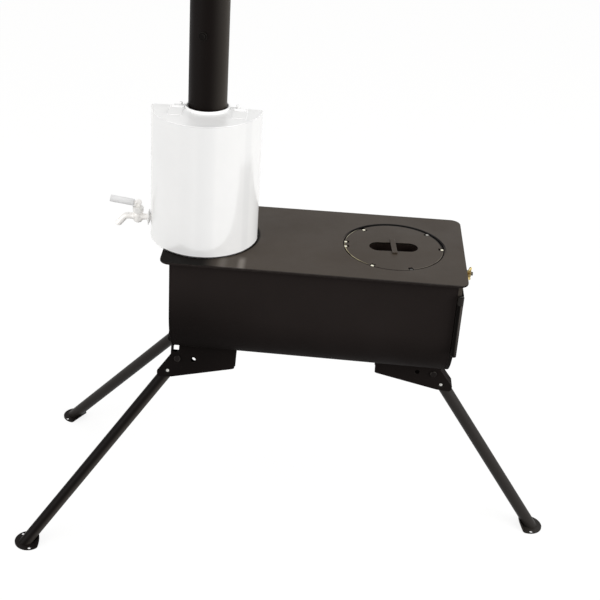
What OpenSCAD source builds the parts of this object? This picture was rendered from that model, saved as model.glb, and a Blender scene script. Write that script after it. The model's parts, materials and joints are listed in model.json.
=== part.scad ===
// Folding tent stove: a steel barrel firebox on three folding legs, with a
// lift-off hotplate, a flue with a damper, and a polished water tank with a tap.
// Millimetres. +Z is up, +X is the door end, -Y is the near side, floor at z = 0.

/* [Top plate] */
// How far the top plate stands past each end of the firebox
end_over = 15; // [8:1:40]
// How far the top plate stands past each side of the firebox
side_over = 10; // [5:1:26]
// Thickness of the top plate
top_t = 3; // [2:0.5:5]
// Corner radius of the top plate
top_corner = 16; // [6:1:30]
// Height of the plate's top face above the floor
top_h = 524; // [480:1:600]

/* [Firebox] */
// Length of the firebox shell
body_l = 438; // [425:1:455]
// Outer radius of the round belly, half the firebox's width
body_r = 104; // [98:1:108]
// Drop from the plate's top face to the belly's axis
belly_drop = 96; // [90:1:110]
// Sheet thickness of the shell and its ends
sheet_t = 2; // [1.5:0.5:3]

/* [Front frame and door] */
// How far the front frame stands out from the shell
frame_d = 7; // [5:0.5:12]
// Width of the door opening
open_w = 162; // [140:1:166]
// Height of the door opening
open_h = 86; // [70:1:92]
// Drop from the plate's top face to the top of the door
door_top = 21; // [18:1:26]
// Height of the door leaf
door_h = 103; // [102:1:116]
// Width of the door leaf, from the hinge axis
door_w = 204; // [198:1:206]
// Thickness of the door leaf
door_t = 2; // [1.5:0.5:3]
// Gap between the front frame and the closed door
door_gap = 1.3; // [0.5:0.1:3]
// Outer radius of the rolled hinge barrel
hinge_r = 4.3; // [4:0.1:5]
// Radius of the hinge pin
hinge_pin_r = 2; // [1.5:0.1:2.5]
// Height of the fixed top knuckle
knuckle_h = 13; // [8:1:18]

/* [Air shutter] */
// Drop from the plate's top face to the shutter's stud
stud_drop = 37; // [34:1:42]
// Radius of the stud
stud_r = 3; // [2:0.5:4]
// How far the wing nut's outer end stands out from the door
nut_reach = 22; // [18:1:26]
// Span of the wing nut over both wings
nut_span = 23; // [18:1:30]
// Radius from the stud to the air holes
air_arc = 45; // [40:1:50]
// Diameter of each air hole
air_d = 12; // [8:1:13]
// Angle between two air holes, in degrees
air_step = 36; // [30:1:40]

/* [Door latch] */
// Distance from the centre line to the latch spindle
latch_y = 75; // [68:1:76]
// Length of the latch handle
latch_l = 56; // [40:1:70]
// Radius of the latch spindle
latch_r = 4; // [3:0.5:5]

/* [Hotplate] */
// Distance from the hotplate's hole to the door end of the top plate
lid_margin = 31; // [21:1:45]
// Radius of the hole in the top plate
lid_hole_r = 78.5; // [60:1:82]
// Gap between the lid and the hole
lid_gap = 1.2; // [0.6:0.1:2]
// Length of the finger slot
slot_l = 76; // [60:1:90]
// Width of the finger slot
slot_w = 29; // [20:1:34]
// Width of the lifting bar
bar_w = 8; // [5:0.5:12]
// Length of the lifting bar
bar_l = 47; // [40:1:60]
// Turn of the finger slot from the long axis, in degrees
slot_turn = 4.5; // [-45:0.5:45]
// Depth of the cup under the slot
cup_d = 14; // [10:1:20]

/* [Flue] */
// Distance from the flue's axis to the flue end of the top plate
flue_in = 57; // [54:1:69]
// Outer radius of the flue pipe
flue_r = 30; // [28:1:31]
// Wall of the flue pipe
flue_t = 1; // [0.8:0.1:2]
// Length of the flue section
flue_l = 500; // [440:10:700]
// Length of the drawn-in neck at the flue's top
neck_l = 60; // [40:1:70]
// Height of the spigot that holds the flue
spigot_h = 45; // [30:1:60]
// Height of the damper spindle above the plate
damper_z = 337; // [325:1:380]
// Turn of the damper spindle in plan, in degrees
damper_turn = 11.5; // [-30:0.5:30]

/* [Water tank] */
// Radius of the tank's round front
tank_r = 86.5; // [80:0.5:92]
// Height of the tank
tank_h = 217.5; // [190:0.5:235]
// Wall of the tank
tank_t = 1.2; // [1:0.1:2]
// Distance of the tank's flat back in front of the flue's axis
tank_back_y = 3; // [1:0.5:6]
// Width of a filler flap
flap_w = 21; // [16:1:24]
// Length of a filler flap
flap_l = 33; // [26:1:38]

/* [Tap] */
// Height of the tap's centre line above the plate
tap_z = 29; // [22:1:40]
// Distance of the tap's centre line in front of the flue's axis
tap_y = 17; // [16:1:24]
// Distance from the tank's side to the tap's spindle
tap_reach = 20.5; // [18:0.5:30]
// Radius of the tap's body
tap_r = 7.5; // [7:0.5:9]
// Radius of the spout
spout_r = 5.2; // [4:0.1:6]
// Length of the lever's grip
grip_l = 39; // [28:1:50]
// Radius of the lever's grip
grip_r = 5.6; // [4:0.2:7]

/* [Legs] */
// Outer radius of a leg tube
leg_r = 10; // [8:0.5:10.5]
// Wall of a leg tube
leg_t = 1.5; // [1:0.1:2.5]
// Angle of the two flue-end legs under the level, in degrees
rear_angle = 54.8; // [50:0.2:60]
// Angle of the door-end leg under the level, in degrees
front_angle = 56.6; // [50:0.2:60]
// Sideways splay of the two flue-end legs, in degrees
splay = 23.8; // [20:0.2:28]
// Distance of a leg's pivot in from the firebox's end
pivot_in = 9.2; // [5:0.2:13]
// Distance of a leg's pivot below the belly's surface
pivot_out = 21.7; // [20:0.1:24]
// Length of a bracket inward from its pivot
bracket_l = 96; // [80:1:120]
// Depth of a bracket below the belly at its pivot
bracket_h = 52.8; // [50:0.2:58]
// Depth of a bracket below the belly at its inner end
bracket_end_h = 31; // [28:0.5:36]
// Distance from the pivot to a bracket's outer tip
tip_l = 32.6; // [32:0.2:36]
// Radius of a pivot bolt
bolt_r = 3; // [2.5:0.5:4]
// Distance from the pivot to the snap button
button_out = 26.4; // [24:0.2:30]
// Radius of a snap button
button_r = 3.8; // [3:0.1:4.5]
// Radius of a foot disc
foot_r = 23.5; // [22:0.5:27]
// Thickness of a foot disc
foot_t = 2; // [1.5:0.5:3]
// Distance from a foot's rim to the middle of a peg hole
peg_in = 4.3; // [4:0.1:6]
// Radius of a peg hole
peg_r = 2.7; // [2:0.1:2.9]

/* [Hidden] */
$fn = 64;

// Named clearances
run_gap = 0.05;   // radial running gap of a pin in its bore
air_gap = 0.3;    // gap between curved faces of two bodies
weld_gap = 0.02;  // root gap of a welded sheet
over = 1;         // how far a cut runs past a face

// Colours
black_paint = [0.16, 0.15, 0.14];
dark_steel = [0.24, 0.23, 0.22];
bare_steel = [0.72, 0.71, 0.68];
stainless = [0.86, 0.86, 0.85];
brass = [0.80, 0.62, 0.28];
black_grip = [0.10, 0.10, 0.10];

// Levels and stations worked out from the sizes above
top_l = body_l + 2 * end_over;
top_w = 2 * (body_r + side_over);
lid_x = top_l / 2 - lid_margin - lid_hole_r;
flue_x = flue_in - top_l / 2;
pivot_x = body_l / 2 - pivot_in;
belly_z = top_h - belly_drop;
shell_up = belly_drop - top_t;
front_x = body_l / 2 + frame_d;
hinge_x = front_x + door_gap + door_t - hinge_r;
hinge_y = -(body_r + air_gap + hinge_r);
door_in_x = front_x + door_gap;
door_out_x = door_in_x + door_t;
door_z1 = top_h - door_top;
door_z0 = door_z1 - door_h;
knuckle_gap = 0.5;
open_z1 = door_z1 - (door_h - open_h) / 2;
pivot_rad = body_r + pivot_out;
tank_y = -tank_back_y;
tank_side_x = flue_x - sqrt(pow(tank_r, 2) - pow(tap_y - tank_back_y, 2));
bite_r = flue_r + 4;
rear_leg_l = leg_length(rear_angle, splay);
front_leg_l = leg_length(front_angle, 0);
foot_reach_rear = pivot_x + rear_leg_l * cos(rear_angle);
foot_reach_front = pivot_x + front_leg_l * cos(front_angle);
foot_shift = -4;  // a foot disc's centre, along its leg's plan line
origin_x = (foot_reach_rear + foot_shift * cos(leg_plan(1)) - foot_reach_front - foot_shift) / 2;

// A leg runs from its pivot to the top of its foot disc
function leg_length(angle, lean) =
    (belly_z - pivot_rad * cos(lean) - foot_t) / (sin(angle) * cos(lean));

// Points of an arc from angle a to angle b
function arc(x, y, r, a, b, n = 8) =
    [for (i = [0 : n]) [x + r * cos(a + (b - a) * i / n), y + r * sin(a + (b - a) * i / n)]];

module placed() translate([origin_x, 0, 0]) children();
module on_plate() placed() translate([0, 0, top_h]) children();

// A cylinder along X, from x = a to x = b
module rod_x(r, a, b) translate([a, 0, 0]) rotate([0, 90, 0]) cylinder(r = r, h = b - a);

// A plate in the Y-Z plane, from x = a to x = b, with its outline given as [y, z]
module sheet_yz(points, a, b)
    translate([a, 0, 0]) rotate([90, 0, 90]) linear_extrude(b - a) polygon(points);

// A sheet in the X-Z plane, from y = a to y = b, with its outline given as [x, z]
module sheet_xz(points, a, b)
    translate([0, b, 0]) rotate([90, 0, 0]) linear_extrude(b - a) polygon(points);

// A hexagonal prism with the given width across flats
module hex(across, h) cylinder(d = across / cos(30), h = h, $fn = 6);

// ---------------------------------------------------------------- firebox

// The firebox's section as a block along X, open-ended between two stations
module belly_block(a, b, r, up) {
    difference() {
        rod_x(r, a, b);
        translate([a - over, -r - over, 0]) cube([b - a + 2 * over, 2 * (r + over), r + over]);
    }
    translate([a, -r, 0]) cube([b - a, 2 * r, up]);
}

// The outline of a plate with four rounded corners, length l and width w
function rounded_outline(l, w, r) = concat(
    arc(l / 2 - r, w / 2 - r, r, 0, 90),
    arc(-l / 2 + r, w / 2 - r, r, 90, 180),
    arc(-l / 2 + r, -w / 2 + r, r, 180, 270),
    arc(l / 2 - r, -w / 2 + r, r, 270, 360));

module top_plate() color(black_paint) on_plate() difference() {
    translate([0, 0, -top_t]) linear_extrude(top_t)
        polygon(rounded_outline(top_l, top_w, top_corner));
    translate([lid_x, 0, -top_t - over]) cylinder(r = lid_hole_r, h = top_t + 2 * over, $fn = 128);
    translate([flue_x, 0, -top_t - over])
        cylinder(r = flue_r - flue_t - 1, h = top_t + 2 * over);
}

module firebox_shell() color(black_paint) placed() translate([0, 0, belly_z]) difference() {
    belly_block(-body_l / 2 + sheet_t, body_l / 2, body_r, shell_up);
    belly_block(-body_l / 2, body_l / 2 + over, body_r - sheet_t, shell_up + over);
}

module rear_end_plate() color(black_paint) placed() translate([0, 0, belly_z])
    belly_block(-body_l / 2, -body_l / 2 + sheet_t, body_r, shell_up);

// The outline of the door opening, with rounded lower corners
function opening_outline(grow) = let (r = 18 + grow, w = open_w / 2 + grow,
    z1 = open_z1 + grow, z0 = open_z1 - open_h - grow) concat(
    [[w, z1], [-w, z1]],
    arc(-w + r, z0 + r, r, 180, 270),
    arc(w - r, z0 + r, r, 270, 360));

module front_frame() color(black_paint) placed() difference() {
    translate([0, 0, belly_z]) belly_block(body_l / 2, front_x, body_r, shell_up);
    translate([0, 0, belly_z])
        belly_block(body_l / 2 - over, front_x - sheet_t, body_r - sheet_t, shell_up - sheet_t);
    sheet_yz(opening_outline(0), front_x - sheet_t - over, front_x + over);
}

grate_half = 62;
grate_l = 380;
grate_t = 2.5;
grate_slots = 12;
grate_slot_w = 6;
// How far below the belly's axis a sheet of the given half width rests on the shell
grate_z = belly_z - sqrt(pow(body_r - sheet_t - weld_gap, 2) - pow(grate_half, 2));
module fire_grate() color(dark_steel) placed() translate([0, 0, grate_z]) difference() {
    translate([-grate_l / 2, -grate_half, 0]) cube([grate_l, 2 * grate_half, grate_t]);
    for (i = [0 : grate_slots - 1], side = [-1, 1])
        translate([(i + 0.5 - grate_slots / 2) * grate_l / (grate_slots + 1), side * grate_half / 2,
            -over]) rotate([0, 0, 90])
            slot_block(grate_half * 0.68, grate_slot_w, grate_t + 2 * over);
}

baffle_l = 120;
baffle_half = 55;
baffle_drop = 26;
// A baffle hung under the flue: a flat tray with two upright sides
module baffle_plate() color(dark_steel) on_plate()
    translate([-body_l / 2 + sheet_t + 8, 0, -top_t - baffle_drop]) {
        translate([0, -baffle_half, 0]) cube([baffle_l, 2 * baffle_half, sheet_t]);
        for (side = [-1, 1]) translate([0, side * (baffle_half - sheet_t / 2) - sheet_t / 2, 0])
            cube([baffle_l, sheet_t, baffle_drop]);
    }

// ---------------------------------------------------------------- hotplate

lid_r = lid_hole_r - lid_gap;
seat_lap = 8;   // how far the lid lies on its seat
seat_weld = 6;  // how far the seat reaches under the plate
seat_in = lid_r - seat_lap;
seat_out = lid_hole_r + seat_weld;
seat_t = 3;

module hotplate_seat() color(dark_steel) on_plate() translate([lid_x, 0, -top_t - seat_t])
    difference() {
        cylinder(r = seat_out, h = seat_t, $fn = 128);
        translate([0, 0, -over]) cylinder(r = seat_in, h = seat_t + 2 * over, $fn = 128);
    }

// A slot with round ends along X
module slot_block(l, w, h) {
    for (side = [-1, 1]) translate([side * (l - w) / 2, 0, 0]) cylinder(d = w, h = h);
    translate([-(l - w) / 2, -w / 2, 0]) cube([l - w, w, h]);
}

lug_angles = [2, 44, 131, 175, 187, 244, 290];
lug_w = 4.5;
lug_l = 4;
// how far each lug stands in from the lid's rim
lug_inset = [0, 0, 4, 0, 0, 0, 0];
notch_gap = 1.2;
// room in a notch between the lug and the notch's inner end
notch_in = 3.4;
module hotplate_lid() color(black_paint) on_plate() translate([lid_x, 0, -top_t]) difference() {
    cylinder(r = lid_r, h = top_t, $fn = 128);
    translate([0, 0, -over]) rotate([0, 0, slot_turn]) slot_block(slot_l, slot_w, top_t + 2 * over);
    for (i = [0 : len(lug_angles) - 1]) rotate([0, 0, lug_angles[i]])
        translate([lid_r - lug_l - lug_inset[i] - notch_in, -lug_w / 2 - notch_gap, -over])
            cube([lug_l + lug_inset[i] + notch_in + over, lug_w + 2 * notch_gap, top_t + 2 * over]);
}

// Bare lugs on the seat that stand in the lid's notches and keep it centred
module centring_lugs() color(bare_steel) on_plate() translate([lid_x, 0, -top_t])
    for (i = [0 : len(lug_angles) - 1]) rotate([0, 0, lug_angles[i]])
        translate([lid_r - lug_l - lug_inset[i], -lug_w / 2, 0]) cube([lug_l, lug_w, top_t - 0.4]);

cup_wall = 1.5;
cup_rim = 7;
module lid_cup() color(dark_steel) on_plate() translate([lid_x, 0, -top_t - cup_d])
        rotate([0, 0, slot_turn]) difference() {
    union() {
        slot_block(slot_l + 2 * cup_wall, slot_w + 2 * cup_wall, cup_d);
        translate([0, 0, cup_d - cup_wall]) slot_block(slot_l + 2 * cup_rim, slot_w + 2 * cup_rim, cup_wall);
    }
    translate([0, 0, cup_wall]) slot_block(slot_l, slot_w, cup_d);
}

bar_t = 2.5;
module lid_bar() color(black_paint) on_plate() translate([lid_x, 0, 0]) rotate([0, 0, slot_turn])
    translate([-bar_w / 2, -bar_l / 2, 0]) cube([bar_w, bar_l, bar_t]);

// ---------------------------------------------------------------- flue

module at_flue() on_plate() translate([flue_x, 0, 0]) children();

spigot_in = flue_r + air_gap;
spigot_t = 1.5;
module flue_spigot() color(black_paint) at_flue() difference() {
    cylinder(r = spigot_in + spigot_t, h = spigot_h);
    translate([0, 0, -over]) cylinder(r = spigot_in, h = spigot_h + 2 * over);
}

// The pipe's top end is drawn in, so that the next section slides over it
neck_r = flue_r - flue_t - air_gap;
neck_slope = 5;
module flue_pipe() color(black_paint) at_flue() difference() {
    flue_form(flue_r, neck_r, flue_l);
    flue_form(flue_r - flue_t, neck_r - flue_t, flue_l + over);
    translate([0, 0, -over]) cylinder(r = flue_r - flue_t, h = 2 * over);
    damper_axis() translate([0, 0, -flue_r - over])
        cylinder(r = spindle_r + run_gap, h = 2 * (flue_r + over));
}

module flue_form(r, top_r, top_z) {
    neck_z = flue_l - neck_l;
    cylinder(r = r, h = neck_z - neck_slope);
    translate([0, 0, neck_z - neck_slope]) cylinder(r1 = r, r2 = top_r, h = neck_slope);
    translate([0, 0, neck_z]) cylinder(r = top_r, h = top_z - neck_z);
}

spindle_r = 3;
washer_r = 6.7;
washer_t = 1.5;
damper_t = 1.5;
damper_r = flue_r - flue_t - 1;
// The damper spindle's own frame: its axis is local Z, front end at -Z
module damper_axis() translate([0, 0, damper_z]) rotate([0, 0, -damper_turn])
    rotate([-90, 0, 0]) children();

boss_l = 40;
module damper_plate() color(dark_steel) at_flue() damper_axis() difference() {
    union() {
        rotate([90, 0, 90]) translate([0, 0, -damper_t / 2]) cylinder(r = damper_r, h = damper_t);
        translate([0, 0, -boss_l / 2]) cylinder(r = spindle_r + 1.5, h = boss_l);
    }
    translate([0, 0, -damper_r - over]) cylinder(r = spindle_r, h = 2 * (damper_r + over));
}

spindle_front = flue_r + air_gap + washer_t;
spindle_back = flue_r + 16;
module damper_spindle() color(dark_steel) at_flue() damper_axis() {
    translate([0, 0, -spindle_front]) cylinder(r = spindle_r, h = spindle_front + spindle_back);
    translate([0, 0, -spindle_front - 1.6]) cylinder(r = spindle_r + 0.8, h = 1.6);
}

module damper_front_washer() color(dark_steel) at_flue() damper_axis()
    translate([0, 0, -spindle_front]) difference() {
        cylinder(r = washer_r, h = washer_t);
        translate([0, 0, -over]) cylinder(r = spindle_r, h = washer_t + 2 * over);
    }

handle_l = 34;
handle_r = 3.6;
module damper_handle() color(black_paint) at_flue() damper_axis()
    translate([0, 0, spindle_back + handle_r]) difference() {
        union() {
            rotate([90, 0, 0]) translate([0, 0, -handle_l / 2]) cylinder(r = handle_r, h = handle_l);
            for (side = [-1, 1]) translate([0, side * handle_l / 2, 0]) sphere(r = handle_r);
        }
        translate([0, 0, -2 * handle_r]) cylinder(r = spindle_r, h = handle_r);
    }

// ---------------------------------------------------------------- water tank

// The near half of a cylinder, behind which the flat back stands
module half_round(r, h) difference() {
    cylinder(r = r, h = h, $fn = 128);
    translate([-r - over, 0, -over]) cube([2 * (r + over), r + over, h + 2 * over]);
}

// A round post about the flue's axis, in the tank's frame
module bite(r, h) translate([0, tank_back_y, -over]) cylinder(r = r, h = h + 2 * over, $fn = 96);

module at_tank() at_flue() translate([0, tank_y, 0]) children();

module tank_front_wall() color(stainless) at_tank() difference() {
    translate([0, 0, tank_t]) half_round(tank_r, tank_h - 2 * tank_t);
    translate([0, 0, -over]) cylinder(r = tank_r - tank_t, h = tank_h + 2 * over, $fn = 128);
    tap_bore();
}

tail_r = 5;
// The hole for the tap's tail, in the tank's frame
module tap_bore() translate([-tank_r - 2 * over, -(tap_y - tank_back_y), tap_z]) rotate([0, 90, 0])
    cylinder(r = tail_r + run_gap, h = tank_r / 2);

back_half = sqrt(pow(tank_r - tank_t, 2) - pow(tank_t, 2)) - weld_gap;
module tank_back_wall() color(stainless) at_tank() {
    difference() {
        union() {
            translate([-back_half, -tank_t, tank_t])
                cube([2 * back_half, tank_t, tank_h - 2 * tank_t]);
            intersection() {
                translate([0, tank_back_y, tank_t])
                    cylinder(r = bite_r + tank_t, h = tank_h - 2 * tank_t, $fn = 96);
                translate([-tank_r, -tank_r, 0]) cube([2 * tank_r, tank_r, tank_h]);
            }
        }
        bite(bite_r, tank_h);
    }
}

flap_x = bite_r + 4 + flap_w / 2;
flap_shift = 3.5;  // both flaps and screws stand this far towards the door end
flap_hinge_y = -11;
fill_w = flap_w - 7;
module tank_top() color(stainless) at_tank() difference() {
    union() {
        translate([0, 0, tank_h - tank_t]) half_round(tank_r, tank_t);
        intersection() {
            translate([0, tank_back_y, tank_h - tank_t]) cylinder(r = bite_r + 2, h = 5, $fn = 96);
            translate([-tank_r, -tank_r, 0]) cube([2 * tank_r, tank_r, tank_h + 10]);
        }
    }
    bite(bite_r, tank_h + 10);
    for (side = [-1, 1]) translate([side * flap_x + flap_shift, flap_hinge_y - flap_l / 2,
        tank_h - tank_t - over]) rotate([0, 0, 90]) slot_block(flap_l - 8, fill_w, tank_t + 2 * over);
}

module tank_base() color(stainless) at_tank() difference() {
    half_round(tank_r, tank_t);
    bite(bite_r, tank_t);
}

flap_t = 1;
rod_r = 1;
barrel_r = 1.9;
rod_z = barrel_r + air_gap;
ear_t = 1.5;
// A filler flap: a rolled barrel on a rod, and a plate that covers the filler hole
module at_flap(side) at_tank() translate([side * flap_x + flap_shift, flap_hinge_y, tank_h])
    children();
module flap(side) color(stainless) at_flap(side) difference() {
    union() {
        translate([0, 0, rod_z]) rod_x(barrel_r, -flap_w / 2 + ear_t + air_gap,
            flap_w / 2 - ear_t - air_gap);
        translate([-flap_w / 2 + ear_t + air_gap, -barrel_r - 0.4, air_gap])
            cube([flap_w - 2 * (ear_t + air_gap), barrel_r, flap_t]);
        translate([-flap_w / 2, -flap_l, air_gap])
            cube([flap_w, flap_l - barrel_r - 0.4, flap_t]);
    }
    translate([0, 0, rod_z]) rod_x(rod_r + run_gap, -flap_w, flap_w);
}
module filler_flap_left() flap(-1);
module filler_flap_right() flap(1);

module flap_hinge_rods() color(bare_steel) for (side = [-1, 1]) at_flap(side) {
    translate([0, 0, rod_z]) rod_x(rod_r, -flap_w / 2, flap_w / 2);
    for (end = [-1, 1]) translate([end * (flap_w - ear_t) / 2, 0, 0]) {
        translate([-ear_t / 2, -barrel_r, 0]) cube([ear_t, 2 * barrel_r, rod_z]);
        translate([0, 0, rod_z]) rod_x(barrel_r, -ear_t / 2, ear_t / 2);
    }
}

strap_t = 1.5;
strap_h = 12;
strap_in = flue_r + 2;
tab_x = bite_r + 2.5;
tab_l = 15;
tab_y = 7;
screw_r = 1.8;
module tank_strap() color(stainless) at_tank() {
    difference() {
        translate([0, tank_back_y, tank_h - strap_h + strap_t]) difference() {
            cylinder(r = strap_in + strap_t, h = strap_h, $fn = 96);
            translate([0, 0, -over]) cylinder(r = strap_in, h = strap_h + 2 * over, $fn = 96);
        }
        translate([-tank_r, -tank_r + weld_gap, 0]) cube([2 * tank_r, tank_r, tank_h + 50]);
    }
    for (side = [-1, 1]) difference() {
        union() {
            // the ear along the tank's back, and the tab folded over its top
            translate([side > 0 ? strap_in : -tab_x - tab_l, weld_gap, tank_h - strap_h + strap_t])
                cube([tab_x + tab_l - strap_in, strap_t, strap_h]);
            translate([side > 0 ? tab_x : -tab_x - tab_l, -tab_y, tank_h])
                cube([tab_l, tab_y + strap_t, strap_t]);
        }
        translate([side * (tab_x + tab_l / 2) + flap_shift, -tab_y / 2, tank_h - over])
            cylinder(r = screw_r + run_gap, h = strap_t + 2 * over);
    }
}

screw_head_h = 5.5;
module strap_screws() color(bare_steel) at_tank() for (side = [-1, 1])
    translate([side * (tab_x + tab_l / 2) + flap_shift, -tab_y / 2, tank_h]) {
        cylinder(r = screw_r, h = strap_t + screw_head_h);
        translate([0, 0, strap_t]) cylinder(r = screw_r + 0.9, h = screw_head_h);
    }

// ---------------------------------------------------------------- tap

flange_r = 12.5;
flange_t = 2.5;
flange_x = -(tank_r + 0.3);
body_x = tank_side_x - flue_x - tap_reach;
tap_h = 19;
bonnet_h = 8.5;
bonnet_af = 15.5;
// The tap's frame: X along its tail, Z up, origin on its centre line at the flue's axis
module at_tap() at_flue() translate([0, -tap_y, tap_z]) children();

module tap_flange() color(brass) at_tap() difference() {
    rod_x(flange_r, flange_x - flange_t, flange_x);
    rod_x(tail_r + run_gap, flange_x - flange_t - over, flange_x + over);
}

module tap_lock_nut() color(brass) at_tap() difference() {
    translate([tank_side_x - flue_x + tank_t + 3, 0, 0]) rotate([0, 90, 0]) hex(17, 5);
    rod_x(tail_r, tank_side_x - flue_x, tank_side_x - flue_x + 20);
}

bore_r = 3.4;
plug_r = 4.6;
spout_drop = 50;
bend_r = 9;
bend_x = body_x - 16;
spout_end = 17;
module tap_body() color(brass) at_tap() difference() {
    union() {
        translate([body_x, 0, -tap_h / 2 - 1]) cylinder(r = tap_r, h = tap_h);
        rod_x(tail_r, body_x, tank_side_x - flue_x + tank_t + 10);
        rod_x(spout_r, bend_x, body_x);
    }
    translate([body_x, 0, -tap_h / 2 + 2]) cylinder(r = plug_r + run_gap, h = tap_h);
    rod_x(bore_r, bend_x - over, tank_side_x - flue_x + tank_t + 10 + over);
}

// The bent end of the spout, from its joint with the tap's body to its mouth
module bend(r) rotate([90, -90, 0]) rotate_extrude(angle = spout_drop) translate([bend_r, 0])
    circle(r = r);
module mouth(r, back, h) rotate([0, -spout_drop, 0]) translate([back, 0, bend_r]) rotate([0, -90, 0])
    cylinder(r = r, h = h);
module tap_spout() color(brass) at_tap() translate([bend_x, 0, -bend_r]) {
    difference() {
        bend(spout_r);
        bend(bore_r);
    }
    difference() {
        mouth(spout_r, 0, spout_end);
        mouth(bore_r, over, spout_end + 2 * over);
    }
}

stem_r = 3;
module tap_bonnet() color(brass) at_tap() translate([body_x, 0, tap_h / 2 - 1]) difference() {
    hex(bonnet_af, bonnet_h);
    translate([0, 0, -over]) cylinder(r = stem_r + run_gap, h = bonnet_h + 2 * over);
}

hub_r = 5.4;
hub_z = tap_h / 2 - 1 + bonnet_h + hub_r + 0.6;
module tap_plug() color(brass) at_tap() translate([body_x, 0, 0]) difference() {
    union() {
        translate([0, 0, -tap_h / 2 + 2.2]) cylinder(r = plug_r, h = tap_h - 3.4);
        cylinder(r = stem_r, h = hub_z);
        translate([0, 0, hub_z]) sphere(r = hub_r);
        translate([0, 0, hub_z]) grip_line() cylinder(r = 2, h = hub_r + 8);
    }
    rod_x(bore_r, -tap_r, tap_r);
}
grip_rise = 7.5;
module grip_line() rotate([0, -90 + grip_rise, 0]) children();

grip_gap = 1.2;
module tap_grip() color(black_grip) at_tap() translate([body_x, 0, hub_z]) grip_line()
    translate([0, 0, hub_r + grip_gap]) difference() {
        cylinder(r = grip_r, h = grip_l);
        translate([0, 0, -over]) cylinder(r = 2, h = 8 - grip_gap + over);
    }

// ---------------------------------------------------------------- door

barrel_top = door_z1 - knuckle_h - knuckle_gap;
barrel_bottom = door_z0 + 1;
leaf_y0 = hinge_y + hinge_r + 1.2;
leaf_y1 = hinge_y + door_w;
leaf_corner = 12;
function leaf_outline() = concat(
    [[leaf_y0, door_z1]],
    arc(leaf_y1 - leaf_corner, door_z1 - leaf_corner, leaf_corner, 90, 0),
    arc(leaf_y1 - leaf_corner, door_z0 + leaf_corner, leaf_corner, 0, -90),
    [[hinge_y, door_z0 + 1], [hinge_y, barrel_top], [leaf_y0, barrel_top]]);

module door_leaf() color(black_paint) placed() difference() {
    union() {
        sheet_yz(leaf_outline(), door_in_x, door_out_x);
        translate([hinge_x, hinge_y, barrel_bottom])
            cylinder(r = hinge_r, h = barrel_top - barrel_bottom);
    }
    translate([hinge_x, hinge_y, door_z0 - over])
        cylinder(r = hinge_pin_r + run_gap, h = door_h + 2 * over);
    at_stud() rod_x(stud_r + run_gap, door_in_x - over, door_out_x + over);
    air_holes(door_in_x - over, door_out_x + over);
    translate([0, latch_y, latch_z]) rod_x(latch_r + run_gap, door_in_x - over, door_out_x + over);
}

module at_stud() translate([0, 0, top_h - stud_drop]) children();
module air_holes(a, b) at_stud() for (i = [-1 : 1])
    rotate([i * air_step, 0, 0]) translate([0, 0, -air_arc]) rod_x(air_d / 2, a, b);

lug_t = 2;
module hinge_knuckles() color(dark_steel) placed() difference() {
    union() {
        translate([hinge_x, hinge_y, door_z1 - knuckle_h])
            cylinder(r = hinge_r + 0.2, h = knuckle_h);
        translate([hinge_x, hinge_y, barrel_bottom - knuckle_gap - lug_t])
            cylinder(r = hinge_r, h = lug_t);
        // each knuckle's root on the front frame's near side
        for (z = [door_z1 - knuckle_h, barrel_bottom - knuckle_gap - lug_t])
            translate([hinge_x - hinge_r, hinge_y, z])
                cube([front_x - hinge_x + hinge_r - 0.5, -hinge_y - body_r - weld_gap, lug_t]);
    }
    translate([hinge_x, hinge_y, door_z0 - 10]) cylinder(r = hinge_pin_r, h = door_h + 20);
}

module hinge_pin() color(bare_steel) placed() translate([hinge_x, hinge_y, 0]) {
    translate([0, 0, barrel_bottom - knuckle_gap - lug_t])
        cylinder(r = hinge_pin_r, h = door_z1 - barrel_bottom + knuckle_gap + lug_t);
    translate([0, 0, door_z1]) cylinder(r = hinge_pin_r + 1, h = 1.5);
}

shutter_t = 1.5;
shutter_x = door_out_x + air_gap;
shutter_in = air_arc - 11;
shutter_out = air_arc + 10;
shutter_half = 1.5 * air_step + 9;
module air_shutter() color(black_paint) placed() at_stud() difference() {
    union() {
        sheet_yz(concat(arc(0, 0, shutter_out, -90 - shutter_half, -90 + shutter_half, 20),
            arc(0, 0, shutter_in, -90 + shutter_half, -90 - shutter_half, 20)),
            shutter_x, shutter_x + shutter_t);
        translate([shutter_x, -6, -shutter_in - 2]) cube([shutter_t, 12, shutter_in + 2]);
        rod_x(8, shutter_x, shutter_x + shutter_t);
        // the finger tab, folded outward
        translate([shutter_x, -8, -shutter_out - 1]) cube([10, 16, shutter_t]);
    }
    rod_x(stud_r + run_gap, shutter_x - over, shutter_x + shutter_t + over);
    for (i = [-1 : 1]) rotate([i * air_step, 0, 0]) translate([0, 0, -air_arc])
        rod_x(air_d / 2, shutter_x - over, shutter_x + shutter_t + over);
}

stud_end = door_out_x + nut_reach;
nut_l = 6;
nut_x = stud_end - nut_l - 3;
module shutter_stud() color(bare_steel) placed() at_stud() {
    rod_x(stud_r, door_in_x - door_gap + air_gap, stud_end);
    rod_x(stud_r + 3, door_in_x - door_gap + air_gap, door_in_x);
}

module stud_sleeve() color(brass) placed() at_stud() difference() {
    rod_x(stud_r + 1.5, shutter_x + shutter_t + air_gap, nut_x - air_gap);
    rod_x(stud_r, shutter_x, nut_x);
}

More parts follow.
